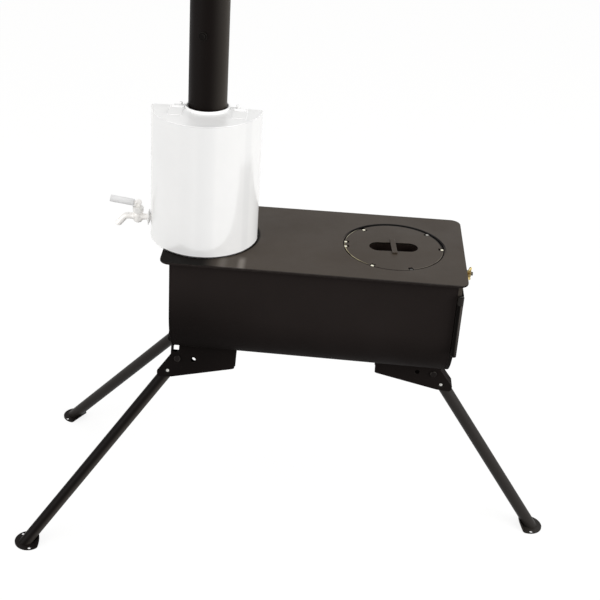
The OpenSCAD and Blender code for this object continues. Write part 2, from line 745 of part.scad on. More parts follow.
wing_t = 2.4;
module wing_nut() color(brass) placed() at_stud() difference() {
    union() {
        rod_x(stud_r + 2.2, nut_x, nut_x + nut_l);
        for (side = [-1, 1]) sheet_xz([
            [nut_x + 0.5, side * stud_r], [nut_x + nut_l - 1, side * stud_r],
            [nut_x + nut_l + 0.3, side * (nut_span / 2 - 4)],
            [nut_x + nut_l + 0.5, side * (nut_span / 2 - 1.5)],
            [nut_x + nut_l - 0.8, side * nut_span / 2],
            [nut_x + nut_l - 3, side * (nut_span / 2 - 1)]], -wing_t / 2, wing_t / 2);
    }
    rod_x(stud_r + run_gap, nut_x - over, nut_x + nut_l + 4);
}

latch_z = door_z0 + door_h / 2;
tongue_t = 2.5;
tongue_x = front_x - sheet_t - 0.6 - tongue_t;
tongue_l = 19;
hub_l = 14;
module at_latch() placed() translate([0, latch_y, latch_z]) children();
module latch_spindle() color(bare_steel) at_latch() {
    rod_x(latch_r, tongue_x, door_out_x + air_gap + hub_l);
    sheet_yz([[-5, -5], [5, -5], [5, tongue_l], [-5, tongue_l]], tongue_x, tongue_x + tongue_t);
}

module latch_handle() color(dark_steel) at_latch() difference() {
    union() {
        rod_x(latch_r + 3, door_out_x + air_gap, door_out_x + air_gap + hub_l);
        translate([door_out_x + air_gap + hub_l / 2, 0, -latch_l]) cylinder(r = 2.5, h = latch_l);
    }
    rod_x(latch_r, door_out_x, door_out_x + 20);
}

module latch_grip() color(black_grip) at_latch() difference() {
    translate([door_out_x + air_gap + hub_l / 2, 0, -latch_l]) cylinder(r = 5, h = latch_l - 16);
    translate([door_out_x + air_gap + hub_l / 2, 0, -latch_l - over]) cylinder(r = 2.5, h = latch_l);
}

// ---------------------------------------------------------------- legs

// Station 0 is the door-end leg, 1 the near flue-end leg, 2 the far one.
// In a station's frame, X runs outward, Z is radial and the belly's axis is at 0.
module station(i) placed() {
    if (i == 0) translate([0, 0, belly_z]) children();
    if (i == 1) rear_station() children();
    if (i == 2) mirror([0, 1, 0]) rear_station() children();
}
module rear_station() translate([0, 0, belly_z]) rotate([-splay, 0, 0]) mirror([1, 0, 0])
    children();
module at_pivot(i) station(i) translate([pivot_x, 0, -pivot_rad]) children();
function leg_angle(i) = i == 0 ? front_angle : rear_angle;
function leg_l(i) = i == 0 ? front_leg_l : rear_leg_l;

cheek_t = 1.8;
cheek_gap = leg_r + 0.5;
cheek_out = cheek_gap + cheek_t;
web_t = 1.8;
web_x = pivot_x + leg_r + 1.7;
web_bend = body_r + bracket_end_h / 2 - 0.6;
tip_x = pivot_x + tip_l;
tip_r = body_r + bracket_h - 9;
deep = body_r + bracket_h;
shallow = body_r + bracket_end_h;
inner_x = pivot_x - bracket_l;
window = leg_r + 1.5;
// A cheek's outline, as [x, z]
function cheek_outline() = concat(
    [[inner_x, -body_r + 6], [inner_x + 1, -shallow + 1.5], [inner_x + 4, -shallow],
     [pivot_x + 8, -deep]],
    arc(tip_x - 7, -tip_r - 4, 7, -70, 0, 6),
    [[tip_x, -tip_r], [web_x, -web_bend], [web_x, -body_r + 6]]);

module bracket(i) color(black_paint) station(i) difference() {
    union() {
        for (y = [-cheek_out, cheek_gap]) sheet_xz(cheek_outline(), y, y + cheek_t);
        // the web that closes the outer end
        sheet_xz([[web_x, -body_r + 6], [web_x, -web_bend], [tip_x, -tip_r],
            [tip_x - web_t * 1.25, -tip_r], [web_x - web_t, -web_bend - web_t / 2],
            [web_x - web_t, -body_r + 6]], -cheek_gap, cheek_gap);
    }
    rod_x(body_r + weld_gap, inner_x - over, tip_x + over);
    translate([web_x - web_t - window, -cheek_out - over, -body_r - window + 1])
        cube([window, 2 * (cheek_out + over), window + 8]);
    translate([pivot_x, 0, -pivot_rad]) {
        cross_bore(bolt_r + run_gap);
        translate(button_at(i)) cross_bore(button_r + air_gap);
        translate([-button_out, 0, 0]) cross_bore(button_r + air_gap);
    }
}
module cross_bore(r) rotate([90, 0, 0]) translate([0, 0, -cheek_out - over])
    cylinder(r = r, h = 2 * (cheek_out + over));
function button_at(i) = [button_out * cos(leg_angle(i)), 0, -button_out * sin(leg_angle(i))];
module front_bracket() bracket(0);
module near_bracket() bracket(1);
module far_bracket() bracket(2);

foot_cut = 6 * leg_r;
// A leg tube with a round closed top end; its foot end is cut level with the floor
module leg(i) color(black_paint) at_pivot(i) difference() {
    rotate([0, 90 + leg_angle(i), 0]) {
        sphere(r = leg_r);
        cylinder(r = leg_r, h = leg_l(i) + 2 * leg_r);
    }
    rotate([0, 90 + leg_angle(i), 0]) translate([0, 0, leg_r * 0.6])
        cylinder(r = leg_r - leg_t, h = leg_l(i) + 2 * leg_r);
    under_foot(i) translate([-foot_cut, -foot_cut, -foot_cut])
        cube([2 * foot_cut, 2 * foot_cut, foot_cut]);
    cross_bore(bolt_r + run_gap);
    translate(button_at(i)) rotate([90, 0, 0]) cylinder(r = button_r + run_gap, h = leg_r + over);
}
// The foot's frame: origin at the leg's end on top of the disc, level with the floor
module under_foot(i) translate([leg_l(i) * cos(leg_angle(i)), 0, -leg_l(i) * sin(leg_angle(i))])
    rotate([i == 0 ? 0 : splay, 0, 0]) children();
module front_leg() leg(0);
module near_leg() leg(1);
module far_leg() leg(2);

// The plan direction of a leg, seen in its foot's frame
function leg_plan(i) = i == 0 ? 0 : -atan2(tan(rear_angle) * sin(splay), 1);

// How steeply a leg rises over the floor
function leg_rise(i) = let (lean = i == 0 ? 0 : splay)
    asin(sin(leg_angle(i)) * cos(lean));
// Where a foot's disc folds up, under the tube's lower side
function fold_out(i) = -leg_r / sin(leg_rise(i));

// The side view of a foot's sheet as [x, z]: flat on the floor, then folded up
function foot_side(i) = let (up = leg_rise(i), x = fold_out(i), l = 2 * foot_r) concat(
    [[x + l, 0], [x, 0], [x - l * cos(up), l * sin(up)],
     [x - l * cos(up) - foot_t * sin(up), l * sin(up) - foot_t * cos(up)]],
    arc(x, 0, foot_t, -90 - up, -90, 5),
    [[x + l, -foot_t]]);

// A disc that lies on the floor, with its inner part folded up along the tube
fold_ease = 1.5;
module foot(i) color(black_paint) at_pivot(i) under_foot(i) rotate([0, 0, leg_plan(i)]) {
    to_fold = foot_shift - fold_out(i);
    // seen from above, the folded part ends in a flatter arc
    reach = (foot_r - to_fold) * cos(leg_rise(i));
    half = sqrt(pow(foot_r, 2) - pow(to_fold - fold_ease, 2));
    flap_round = (pow(half, 2) + pow(reach + fold_ease, 2)) / (2 * (reach + fold_ease));
    difference() {
        intersection() {
            sheet_xz(foot_side(i), -foot_r - over, foot_r + over);
            translate([foot_shift, 0, -foot_t - over]) cylinder(r = foot_r, h = 2 * foot_r);
            translate([fold_out(i) - reach + flap_round, 0, -foot_t - over])
                cylinder(r = flap_round, h = 2 * foot_r);
        }
        for (side = [-1, 1]) translate([0, side * (foot_r - peg_in), -foot_t - over])
            cylinder(r = peg_r, h = foot_t + 2 * over);
    }
}
module front_foot() foot(0);
module near_foot() foot(1);
module far_foot() foot(2);

// A snap button, shown pressed in: its face is just inside the cheek
module button(i) color(bare_steel) at_pivot(i) translate(button_at(i)) rotate([90, 0, 0])
    cylinder(r = button_r, h = cheek_gap - 0.2);
module front_button() button(0);
module near_button() button(1);
module far_button() button(2);

head_r = 5.3;
head_t = 3;
module pivot_bolts() color(black_paint) for (i = [0 : 2]) at_pivot(i) rotate([90, 0, 0]) {
    translate([0, 0, -cheek_out - 7]) cylinder(r = bolt_r, h = 2 * cheek_out + 7);
    translate([0, 0, cheek_out]) cylinder(r = head_r, h = head_t);
}

module pivot_nuts() color(dark_steel) for (i = [0 : 2]) at_pivot(i) rotate([90, 0, 0])
    translate([0, 0, -cheek_out - 5]) difference() {
        hex(10, 5);
        translate([0, 0, -over]) cylinder(r = bolt_r, h = 5 + 2 * over);
    }

top_plate();
firebox_shell();
rear_end_plate();
front_frame();
fire_grate();
baffle_plate();
hotplate_seat();
centring_lugs();
hotplate_lid();
lid_cup();
lid_bar();
flue_spigot();
flue_pipe();
damper_plate();
damper_spindle();
damper_front_washer();
damper_handle();
tank_front_wall();
tank_back_wall();
tank_top();
tank_base();
filler_flap_left();
filler_flap_right();
flap_hinge_rods();
tank_strap();
strap_screws();
tap_flange();
tap_lock_nut();
tap_body();
tap_spout();
tap_bonnet();
tap_plug();
tap_grip();
door_leaf();
hinge_knuckles();
hinge_pin();
air_shutter();
shutter_stud();
stud_sleeve();
wing_nut();
latch_spindle();
latch_handle();
latch_grip();
front_bracket();
near_bracket();
far_bracket();
front_leg();
near_leg();
far_leg();
front_foot();
near_foot();
far_foot();
front_button();
near_button();
far_button();
pivot_bolts();
pivot_nuts();
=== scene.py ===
"""Finishes for a folding tent stove: paint, metals, fine pieces, floor, light and camera."""

import json
import math

import bmesh
import bpy
from bpy.props import FloatProperty, FloatVectorProperty, IntProperty, PointerProperty
from mathutils import Matrix, Vector
from mathutils.geometry import tessellate_polygon


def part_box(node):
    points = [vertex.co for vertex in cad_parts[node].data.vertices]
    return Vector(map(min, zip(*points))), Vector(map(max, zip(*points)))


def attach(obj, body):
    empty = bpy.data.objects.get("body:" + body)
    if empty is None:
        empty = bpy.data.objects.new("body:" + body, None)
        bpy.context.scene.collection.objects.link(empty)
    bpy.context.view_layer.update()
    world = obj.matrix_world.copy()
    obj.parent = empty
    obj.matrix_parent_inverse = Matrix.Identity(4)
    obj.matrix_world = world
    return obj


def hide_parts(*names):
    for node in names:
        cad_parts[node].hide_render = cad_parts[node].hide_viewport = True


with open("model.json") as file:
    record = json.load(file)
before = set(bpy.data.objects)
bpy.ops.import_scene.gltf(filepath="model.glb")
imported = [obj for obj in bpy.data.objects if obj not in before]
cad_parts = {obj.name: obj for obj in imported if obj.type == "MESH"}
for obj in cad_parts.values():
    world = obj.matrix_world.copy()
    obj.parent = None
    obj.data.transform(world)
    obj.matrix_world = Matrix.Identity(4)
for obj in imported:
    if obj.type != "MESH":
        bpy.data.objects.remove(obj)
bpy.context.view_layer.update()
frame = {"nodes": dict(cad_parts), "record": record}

bl_info = {
    "name": "Tent stove finishes",
    "version": (1, 0, 0),
    "blender": (4, 5, 0),
    "location": "View3D > Sidebar > Tent stove",
    "description": "Builds the finished look of a folding tent stove round its frame",
    "category": "Object",
}

MM = 0.001


def middle(node):
    """The middle of a frame node's box, and its lowest and highest corner."""
    low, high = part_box(node)
    return (low + high) / 2, low, high


def turned(degrees, axis):
    """A turn about a main axis."""
    return Matrix.Rotation(math.radians(degrees), 4, axis)


def local(x, y, z, turn=Matrix()):
    """A frame in millimetres whose origin stands at x, y, z in metres."""
    return Matrix.Translation((x, y, z)) @ turn @ Matrix.Scale(MM, 4)


PLATE_MID, PLATE_LOW, PLATE_HIGH = middle("top_plate")
LID_MID, LID_LOW, LID_HIGH = middle("hotplate_lid")
MID_X, TOP_Z, LID_X = PLATE_MID.x, PLATE_HIGH.z, LID_MID.x
LID_RIM = (LID_HIGH.x - LID_LOW.x) / 2
FLUE_X = middle("flue_pipe")[0].x
AT_FLUE = local(FLUE_X, 0, TOP_Z)

# Filled by the first operator: the materials and the node trees, by their short names
FINISHES, TREES = {}, {}


# ---------------------------------------------------------------- mesh making


def arc(x, y, r, a, b, n=12):
    """Points of an arc from angle a to angle b, in degrees."""
    angles = [math.radians(a + (b - a) * i / n) for i in range(n + 1)]
    return [(x + r * math.cos(t), y + r * math.sin(t)) for t in angles]


def ring(r, n):
    """Points of a closed ring, or of a regular outline with few sides."""
    return arc(0, 0, r, 0, 360, n)[:-1]


def lathe(bm, profile, steps, at=Matrix(), start=0.0, sweep=360.0, loop=False):
    """Turns a profile of (radius, height) points about Z. A loop closes on itself."""
    full = sweep == 360.0
    count = steps if full else steps + 1
    angles = [math.radians(start + sweep * i / steps) for i in range(count)]
    rings = []
    for r, z in profile:
        if r == 0:
            rings.append([bm.verts.new(at @ Vector((0, 0, z)))] * count)
        else:
            rings.append(
                [bm.verts.new(at @ Vector((r * math.cos(a), r * math.sin(a), z))) for a in angles]
            )
    for low, high in zip(rings, rings[1:] + (rings[:1] if loop else [])):
        for i in range(steps):
            j = (i + 1) % count
            corners = list(dict.fromkeys((low[i], low[j], high[j], high[i])))
            if len(corners) > 2:
                bm.faces.new(corners)
    if not full and loop:
        bm.faces.new([points[0] for points in rings])
        bm.faces.new([points[-1] for points in reversed(rings)])


def sheet(bm, outlines, z0, z1, at):
    """A flat sheet: the first outline is its edge, and the others are holes in it."""
    points = [p for outline in outlines for p in outline]
    low, high = [[bm.verts.new(at @ Vector((x, y, z))) for x, y in points] for z in (z0, z1)]
    loops = [[Vector((x, y, 0)) for x, y in outline] for outline in outlines]
    for a, b, c in tessellate_polygon(loops):
        bm.faces.new((low[a], low[b], low[c]))
        bm.faces.new((high[a], high[b], high[c]))
    first = 0
    for outline in outlines:
        n = len(outline)
        for i in range(n):
            a, b = first + i, first + (i + 1) % n
            bm.faces.new((low[a], low[b], high[b], high[a]))
        first += n


def wall(bm, outer, inner, levels, at):
    """An upright sheet between two open plan lines of as many points each."""
    rows = [
        [[bm.verts.new(at @ Vector((x, y, z))) for x, y in line] for line in (outer, inner)]
        for z in levels
    ]
    n = len(outer)
    for below, above in zip(rows, rows[1:]):
        for low, high in zip(below, above):
            for i in range(n - 1):
                bm.faces.new((low[i], low[i + 1], high[i + 1], high[i]))
        for i in (0, n - 1):
            bm.faces.new((below[0][i], below[1][i], above[1][i], above[0][i]))
    for outside, inside in (rows[0], rows[-1]):
        for i in range(n - 1):
            bm.faces.new((outside[i], outside[i + 1], inside[i + 1], inside[i]))


def flatten_faces(bm):
    """Joins the triangles of each flat face, so that its edges can be rounded cleanly."""
    flat = math.radians(0.3)
    bmesh.ops.dissolve_limit(bm, angle_limit=flat, verts=bm.verts[:], edges=bm.edges[:])


def soften(bm, size, steps=2, over=32):
    """Rounds the edges sharper than an angle, by a size in millimetres, and marks the rounded
    faces. The paints make these faces lighter with rubbed wear and a painted highlight, and
    the snap buttons make them darker with painted shade."""
    edge_mark = bm.faces.layers.float.get("edge_mark") or bm.faces.layers.float.new("edge_mark")
    sharp = [
        e for e in bm.edges if e.is_manifold and e.calc_face_angle(0) > math.radians(over)
    ]
    made = bmesh.ops.bevel(
        bm, geom=sharp, offset=size * MM, segments=steps, profile=0.55, affect="EDGES",
        clamp_overlap=True, loop_slide=True,
    )
    for f in made["faces"]:
        f[edge_mark] = 1.0


def mesh_of(bm):
    """Turns a bmesh into a mesh."""
    mesh = bpy.data.meshes.new("mesh")
    bm.to_mesh(mesh)
    bm.free()
    return mesh


def in_metres(bm):
    """Turns a bmesh drawn in millimetres into a mesh of its real size."""
    bmesh.ops.recalc_face_normals(bm, faces=bm.faces[:])
    bmesh.ops.scale(bm, vec=(MM, MM, MM), verts=bm.verts[:])
    return mesh_of(bm)


def placed(name, data):
    """A new object in the scene."""
    made = bpy.data.objects.new(name, data)
    bpy.context.scene.collection.objects.link(made)
    return made


def modified(mesh, kind, settings, inputs={}):
    """The plain mesh that one modifier makes of a mesh."""
    carrier = placed("carrier", mesh)
    modifier = carrier.modifiers.new("maker", kind)
    for key, value in settings.items():
        setattr(modifier, key, value)
    for identifier, value in inputs.items():
        modifier[identifier] = value
    bpy.context.view_layer.update()
    graph = bpy.context.evaluated_depsgraph_get()
    made = bpy.data.meshes.new_from_object(carrier.evaluated_get(graph))
    carrier.modifiers.remove(modifier)
    bpy.data.objects.remove(carrier)
    return made


def settle(name, mesh, body, nodes, slot, *finishes, crease=38):
    """Makes the finished object, lets it ride on its body and stand for its nodes."""
    mesh.shade_smooth()
    mesh.set_sharp_from_angle(angle=math.radians(crease))
    mesh = modified(mesh, "WEIGHTED_NORMAL", {"weight": 90, "keep_sharp": True})
    mesh.name = name
    # clear() sets each face back to the first finish, so it runs only on a tree's own finish
    if mesh.materials:
        mesh.materials.clear()
    for finish in finishes:
        mesh.materials.append(FINISHES[finish])
    made = placed(name, mesh)
    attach(made, body)
    if nodes:
        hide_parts(*nodes)


def body_of(node):
    """The body that a frame node belongs to."""
    for body, members in frame["record"]["behaviour"]["bodies"].items():
        if node in members:
            return body
    raise RuntimeError("no body holds the node " + node)


def piece(node, bm, slot, *finishes, crease=38):
    """The finished piece that stands for a frame node."""
    bmesh.ops.recalc_face_normals(bm, faces=bm.faces[:])
    settle(node + "_finished", mesh_of(bm), body_of(node), [node], slot, *finishes, crease=crease)


def node_shape(node):
    """A frame node's mesh as one joined surface, in metres."""
    bm = bmesh.new()
    bm.from_mesh(frame["nodes"][node].data)
    bmesh.ops.remove_doubles(bm, verts=bm.verts[:], dist=2e-6)
    for f in bm.faces:
        f.material_index = 0
    flatten_faces(bm)
    return bm


def dressed(node, slot, finish, edge=0.5, steps=2):
    """A frame node with its edges rounded, under a finish."""
    bm = node_shape(node)
    soften(bm, edge, steps)
    piece(node, bm, slot, finish)


def solids_of(node):
    """The boxes of a node's separate solids, from low X to high X."""
    bm = node_shape(node)
    left, boxes = set(bm.verts), []
    while left:
        stack, group = [left.pop()], []
        while stack:
            v = stack.pop()
            group.append(v.co.copy())
            for e in v.link_edges:
                o = e.other_vert(v)
                if o in left:
                    left.remove(o)
                    stack.append(o)
        boxes.append([Vector([end(line) for line in zip(*group)]) for end in (min, max)])
    bm.free()
    return sorted(boxes, key=lambda box: box[0].x)


# ---------------------------------------------------------------- finishes

# Lighter paint on the rounded edges: rubbed wear and a painted edge highlight
EDGE_WEAR_AND_HIGHLIGHT = (0.10, 0.092, 0.082)
# Painted light on the side of the flue that faces the door
FLUE_PAINTED_LIGHT = (0.058, 0.051, 0.044)
LIT_UNDERSIDE = (0.052, 0.046, 0.041)
# Painted shade in the far half of the hotplate's groove
GROOVE_SHADE = (0.003, 0.0026, 0.0022)
# Painted shadow and dark reflection of the tank on the plate's flue end
FLUE_END_SHADE = (0.0030, 0.0024, 0.0021)
# Painted contact shadow round the tank's foot on the plate
TANK_CONTACT_SHADOW = (0.003, 0.0025, 0.0022)
# Painted shade on the cooking plate's near edge
NEAR_EDGE_SHADE = (0.008, 0.0065, 0.0058)
# Painted reflection of the tank's light streaks on the plate
TANK_REFLECTION_STREAK = (0.19, 0.17, 0.15)
# Painted reflections on the tank's steel
STEEL_REFLECTION = (0.86, 0.865, 0.87)
# Painted shade in the door's hinge fold
FOLD_SHADE = (0.004, 0.0034, 0.003)

# Rubbed bare parts of the hotplate's rim, with a painted glint where each faces the light.
# Each has its direction in degrees, how closely a point has to face it to show faintly and
# in full, its strength and its colour
RIM_RUBS_AND_GLINTS = (
    (208, 0.84, 0.96, 1.0, (0.56, 0.50, 0.30)),
    (153, 0.95, 0.995, 0.75, (0.55, 0.50, 0.38)),
    (318, 0.70, 0.95, 0.28, (0.40, 0.36, 0.27)),
)


def times(colour, factor):
    """A colour made lighter or darker."""
    return tuple(c * factor for c in colour)


def add(tree, kind, inputs={}, give=0, **settings):
    """Adds a node with its settings, and links or sets its inputs. Returns the output that
    give names, or the node itself where give is None."""
    made = tree.nodes.new(kind)
    for key, value in settings.items():
        setattr(made, key, value)
    for key, value in inputs.items():
        if isinstance(value, bpy.types.NodeSocket):
            tree.links.new(value, made.inputs[key])
        else:
            made.inputs[key].default_value = value
    return made if give is None else made.outputs[give]


class Finish:
    """A procedural material built on one Principled shader."""

    def __init__(self, name, colour, rough, metal=0.0, gloss=0.5):
        self.material = bpy.data.materials.new(name)
        self.material.use_nodes = True
        self.tree = self.material.node_tree
        self.shader = self.tree.nodes["Principled BSDF"]
        self.colour, self.gloss = colour, gloss
        for key, value in (("Base Color", (*colour, 1)), ("Roughness", rough),
                           ("Metallic", metal), ("Specular IOR Level", gloss)):
            self.shader.inputs[key].default_value = value
        self.place = self.node("TexCoord", give="Object")

    def node(self, kind, inputs={}, give=0, **settings):
        """Adds a shader node."""
        return add(self.tree, "ShaderNode" + kind, inputs, give, **settings)

    def into(self, key, socket):
        """Lets a socket lead one of the shader's inputs."""
        self.tree.links.new(socket, self.shader.inputs[key])

    def number(self, operation, *values, clamp=False):
        """Arithmetic on number sockets and fixed numbers."""
        return self.node("Math", dict(enumerate(values)), operation=operation, use_clamp=clamp)

    def vector(self, operation, *values):
        """Arithmetic on vector sockets and fixed vectors."""
        give = "Value" if operation in ("LENGTH", "DOT_PRODUCT") else "Vector"
        return self.node("VectorMath", dict(enumerate(values)), give, operation=operation)

    def noise(self, scale, detail, rough, stretch=(1, 1, 1)):
        """Soft noise of some scale at each point."""
        place = self.node("Mapping", {"Vector": self.place, "Scale": stretch})
        return self.node("TexNoise", {"Vector": place, "Scale": scale, "Detail": detail,
                                      "Roughness": rough}, "Fac")

    def mark(self, name):
        """A mark that the mesh itself holds."""
        return self.node("Attribute", give="Fac", attribute_name=name)

    def spread(self, value, low, high, to_low=0.0, to_high=1.0, soft=False):
        """Stretches low..high to to_low..to_high."""
        return self.node("MapRange", {"Value": value, "From Min": low, "From Max": high,
                                      "To Min": to_low, "To Max": to_high},
                         interpolation_type="SMOOTHSTEP" if soft else "LINEAR")

    def product(self, a, b):
        """One number times another."""
        return self.number("MULTIPLY", a, b)

    def total(self, first, *others):
        """The sum of some sockets, kept within 0 and 1."""
        for value in others:
            first = self.number("ADD", first, value, clamp=True)
        return first

    def band(self, value, centre, half, strength=1.0):
        """A soft band about one value, as strong as given in its middle."""
        far = self.number("ABSOLUTE", self.number("SUBTRACT", value, centre))
        return self.spread(far, half, 0.0, 0.0, strength, soft=True)

    def mixed(self, amount, a, b):
        """Between two colours, or a colour socket and a colour."""
        a, b = [(*value, 1) if isinstance(value, tuple) else value for value in (a, b)]
        return self.node("Mix", {0: amount, 6: a, 7: b}, 2, data_type="RGBA")

    def bumps(self, *heights):
        """Each height is a socket, its depth in millimetres and its strength."""
        before = {}
        for height, depth, strength in heights:
            before["Normal"] = self.node(
                "Bump", {"Height": height, "Distance": depth * MM, "Strength": strength, **before}
            )
        self.into("Normal", before["Normal"])

    # Where each point lies on the stove

    def coordinate(self, axis):
        """Each point's place along X, Y or Z."""
        return self.node("SeparateXYZ", {"Vector": self.place}, axis)

    def from_point(self, point, keep):
        """Each point's way from a point, along the axes that are kept."""
        return self.vector("MULTIPLY", self.vector("SUBTRACT", self.place, point), keep)

    def from_axis(self, x):
        """Distance of each point from an upright axis at x, and which way it lies from it."""
        flat = self.from_point((x, 0, 0), (1, 1, 0))
        return self.vector("LENGTH", flat), self.vector("NORMALIZE", flat)

    def along(self, vector, degrees):
        """How far a unit vector points in a plan direction."""
        turn = math.radians(degrees)
        return self.vector("DOT_PRODUCT", vector, (math.cos(turn), math.sin(turn), 0))

    def offset(self, point, way):
        """How far each point lies from another, along a unit vector."""
        return self.vector("DOT_PRODUCT", self.vector("SUBTRACT", self.place, point), way)


def painted(name, dark, light, rough, gloss, edge_rub_and_glint, shade=None, marks=None):
    """Heat-proof matt paint: a fine grain, soft blotches, and rounded edges made lighter by
    rubbed wear and a painted highlight. shade and marks paint light and shade by place, before
    and after the specks and the lighter edges."""
    f = Finish(name, dark, rough, 0.0, gloss)
    coat = f.mixed(f.spread(f.noise(7, 4, 0.55), 0.32, 0.7), dark, light)
    if shade:
        coat = shade(f, coat)
    speck = f.spread(f.noise(420, 3, 0.6), 0.62, 0.8, 0.0, 0.35)
    coat = f.mixed(speck, coat, times(light, 1.9))
    # The rounded edges: rubbed wear, together with a painted highlight
    worn = f.product(f.mark("edge_mark"), f.spread(f.noise(130, 4, 0.65), 0.42, 0.62, 0.0, edge_rub_and_glint))
    coat = f.mixed(worn, coat, EDGE_WEAR_AND_HIGHLIGHT)
    if marks:
        coat = marks(f, coat)
    f.into("Base Color", coat)
    f.into("Roughness", f.spread(f.noise(11, 5, 0.6), 0.3, 0.72, rough - 0.07, rough + 0.07))
    f.bumps((f.noise(1500, 2, 0.6), 0.05, 0.28), (f.noise(55, 2, 0.5), 0.12, 0.16))
    return f.material


def firebox_shade(f, coat):
    """Darker paint towards the belly, and more so at its flue end."""
    down, deep = f.coordinate("Z"), times(f.colour, 0.15)
    belly = f.spread(down, TOP_Z - 0.08, TOP_Z - 0.19, 0.0, 0.42, soft=True)
    corner = f.product(f.spread(f.coordinate("X"), MID_X - 0.02, MID_X - 0.20, soft=True),
                       f.spread(down, TOP_Z - 0.03, TOP_Z - 0.11, 0.0, 0.55, soft=True))
    return f.mixed(corner, f.mixed(belly, coat, deep), deep)


def flue_shade(f, coat):
    """Painted light: lighter paint on the side of the flue that faces the door."""
    door_side = 5
    way = f.spread(f.along(f.from_axis(FLUE_X)[1], door_side), 0.0, 1.0)
    return f.mixed(f.product(way, way), coat, FLUE_PAINTED_LIGHT)


def near_leg_shade(f, coat):
    """Lighter paint on the underside of the near leg's tube."""
    low, high = middle("near_foot")[0], middle("near_button")[0]
    down = (high - low).normalized().cross(Vector((0, -1, 0))).normalized()
    below = f.spread(f.offset(high, down), 0.0, 0.008, soft=True)
    return f.mixed(below, coat, LIT_UNDERSIDE)


def plate_light_and_shade(f, coat):
    """Painted light and shade on the cooking plate: painted shade in the far half of the
    hotplate's groove, a rubbed near rim with a painted glint, a painted shadow and reflection
    of the tank at the flue end, painted reflections of the tank's light streaks, a painted
    contact shadow round the tank and painted shade on the near edge. The shaded places shine
    less."""
    far, way = f.from_axis(LID_X)
    # Painted shade in the far half of the groove
    groove = f.product(f.spread(far, LID_RIM - 2.9 * MM, LID_RIM - 2.1 * MM),
                       f.spread(far, LID_RIM + 5.2 * MM, LID_RIM + 4.2 * MM))
    groove = f.product(groove, f.spread(f.along(way, 80), -0.02, 0.4))
    coat = f.mixed(groove, coat, GROOVE_SHADE)
    # The near rim: rubbed bare metal, with a painted glint in the directions that face the light
    rim = f.product(f.spread(far, LID_RIM - 1.5 * MM, LID_RIM - 1.1 * MM),
                    f.spread(far, LID_RIM + 0.6 * MM, LID_RIM + 0.3 * MM))
    patchy = f.spread(f.noise(60, 2, 0.5), 0.34, 0.5, 0.35, 1.0)
    for degrees, faint, full, strength, tone in RIM_RUBS_AND_GLINTS:
        edge_mark = f.product(f.spread(f.along(way, degrees), faint, full, 0.0, strength), patchy)
        coat = f.mixed(f.product(rim, edge_mark), coat, tone)
    across, deep = f.coordinate("X"), f.coordinate("Y")
    # Painted shadow and dark reflection of the tank on the plate's flue end
    end = f.spread(across, MID_X - 0.136, MID_X - 0.170, 0.0, 0.96, soft=True)
    flue_end_shade = f.product(end, f.spread(deep, 0.02, -0.03))
    coat = f.mixed(flue_end_shade, coat, FLUE_END_SHADE)
    # Painted reflections of the tank's light streaks, near the plate's front edge
    for centre, half, strength in ((-0.137, 0.011, 0.3), (-0.1075, 0.009, 0.8)):
        reflection_streak = f.product(f.band(across, MID_X + centre, half, strength),
                           f.spread(deep, -0.072, -0.086))
        coat = f.mixed(reflection_streak, coat, TANK_REFLECTION_STREAK)
    # Painted contact shadow round the tank's foot
    tank_shadow = f.spread(f.from_axis(FLUE_X)[0], 92 * MM, 89 * MM, 0.0, 0.96)
    coat = f.mixed(tank_shadow, coat, TANK_CONTACT_SHADOW)
    # Painted shade on the plate's near edge
    edge = f.spread(deep, PLATE_LOW.y + 3.4 * MM, PLATE_LOW.y + 1.8 * MM, 0.0, 0.8)
    # All the painted shade and shadow, which shines less
    soot = f.total(flue_end_shade, tank_shadow, edge, groove)
    f.into("Specular IOR Level", f.spread(soot, 0.0, 1.0, f.gloss, f.gloss * 0.12))
    return f.mixed(edge, coat, NEAR_EDGE_SHADE)


def smudged(name, dark, light, rough, share):
    """Bare metal, as metallic as share says, and its colour with dark smudges."""
    f = Finish(name, light, rough, share)
    return f, f.mixed(f.spread(f.noise(16, 4, 0.6), 0.35, 0.72), light, dark)


def grained(f, coat, rough, grain, depth, stretch=(1, 1, 1)):
    """Gives a metal its colour, its uneven roughness and the fine lines of its grain."""
    f.into("Base Color", coat)
    uneven = f.noise(22, 4, 0.6, stretch)
    f.into("Roughness", f.spread(uneven, 0.3, 0.7, rough - 0.05, rough + 0.08))
    f.bumps((f.noise(grain, 4, 0.6, stretch), depth, 0.4))
    return f.material


def metal(name, dark, light, rough, grain=240, share=1.0):
    """Bare metal with a grain, smudges and a little tone between dark and light."""
    f, coat = smudged(name, dark, light, rough, share)
    return grained(f, coat, rough, grain, 0.02)


def stainless(name, dark, light, rough):
    """Satin stainless steel, with painted reflections: soft upright bands round the flue's axis.
    """
    f, coat = smudged(name, dark, light, rough, 0.08)
    far, way = f.from_axis(FLUE_X)
    outside = f.spread(far, 0.078, 0.084)
    # Painted reflections: light upright bands, each facing one direction
    for degrees, half, strength in ((276, 0.020, 0.5), (264, 0.05, 0.28), (322, 0.006, 0.5)):
        turn = f.spread(f.along(way, degrees), 1.0 - half, 1.0, 0.0, strength, soft=True)
        coat = f.mixed(f.product(turn, outside), coat, STEEL_REFLECTION)
    return grained(f, coat, rough, 900, 0.003, (1, 1, 0.03))


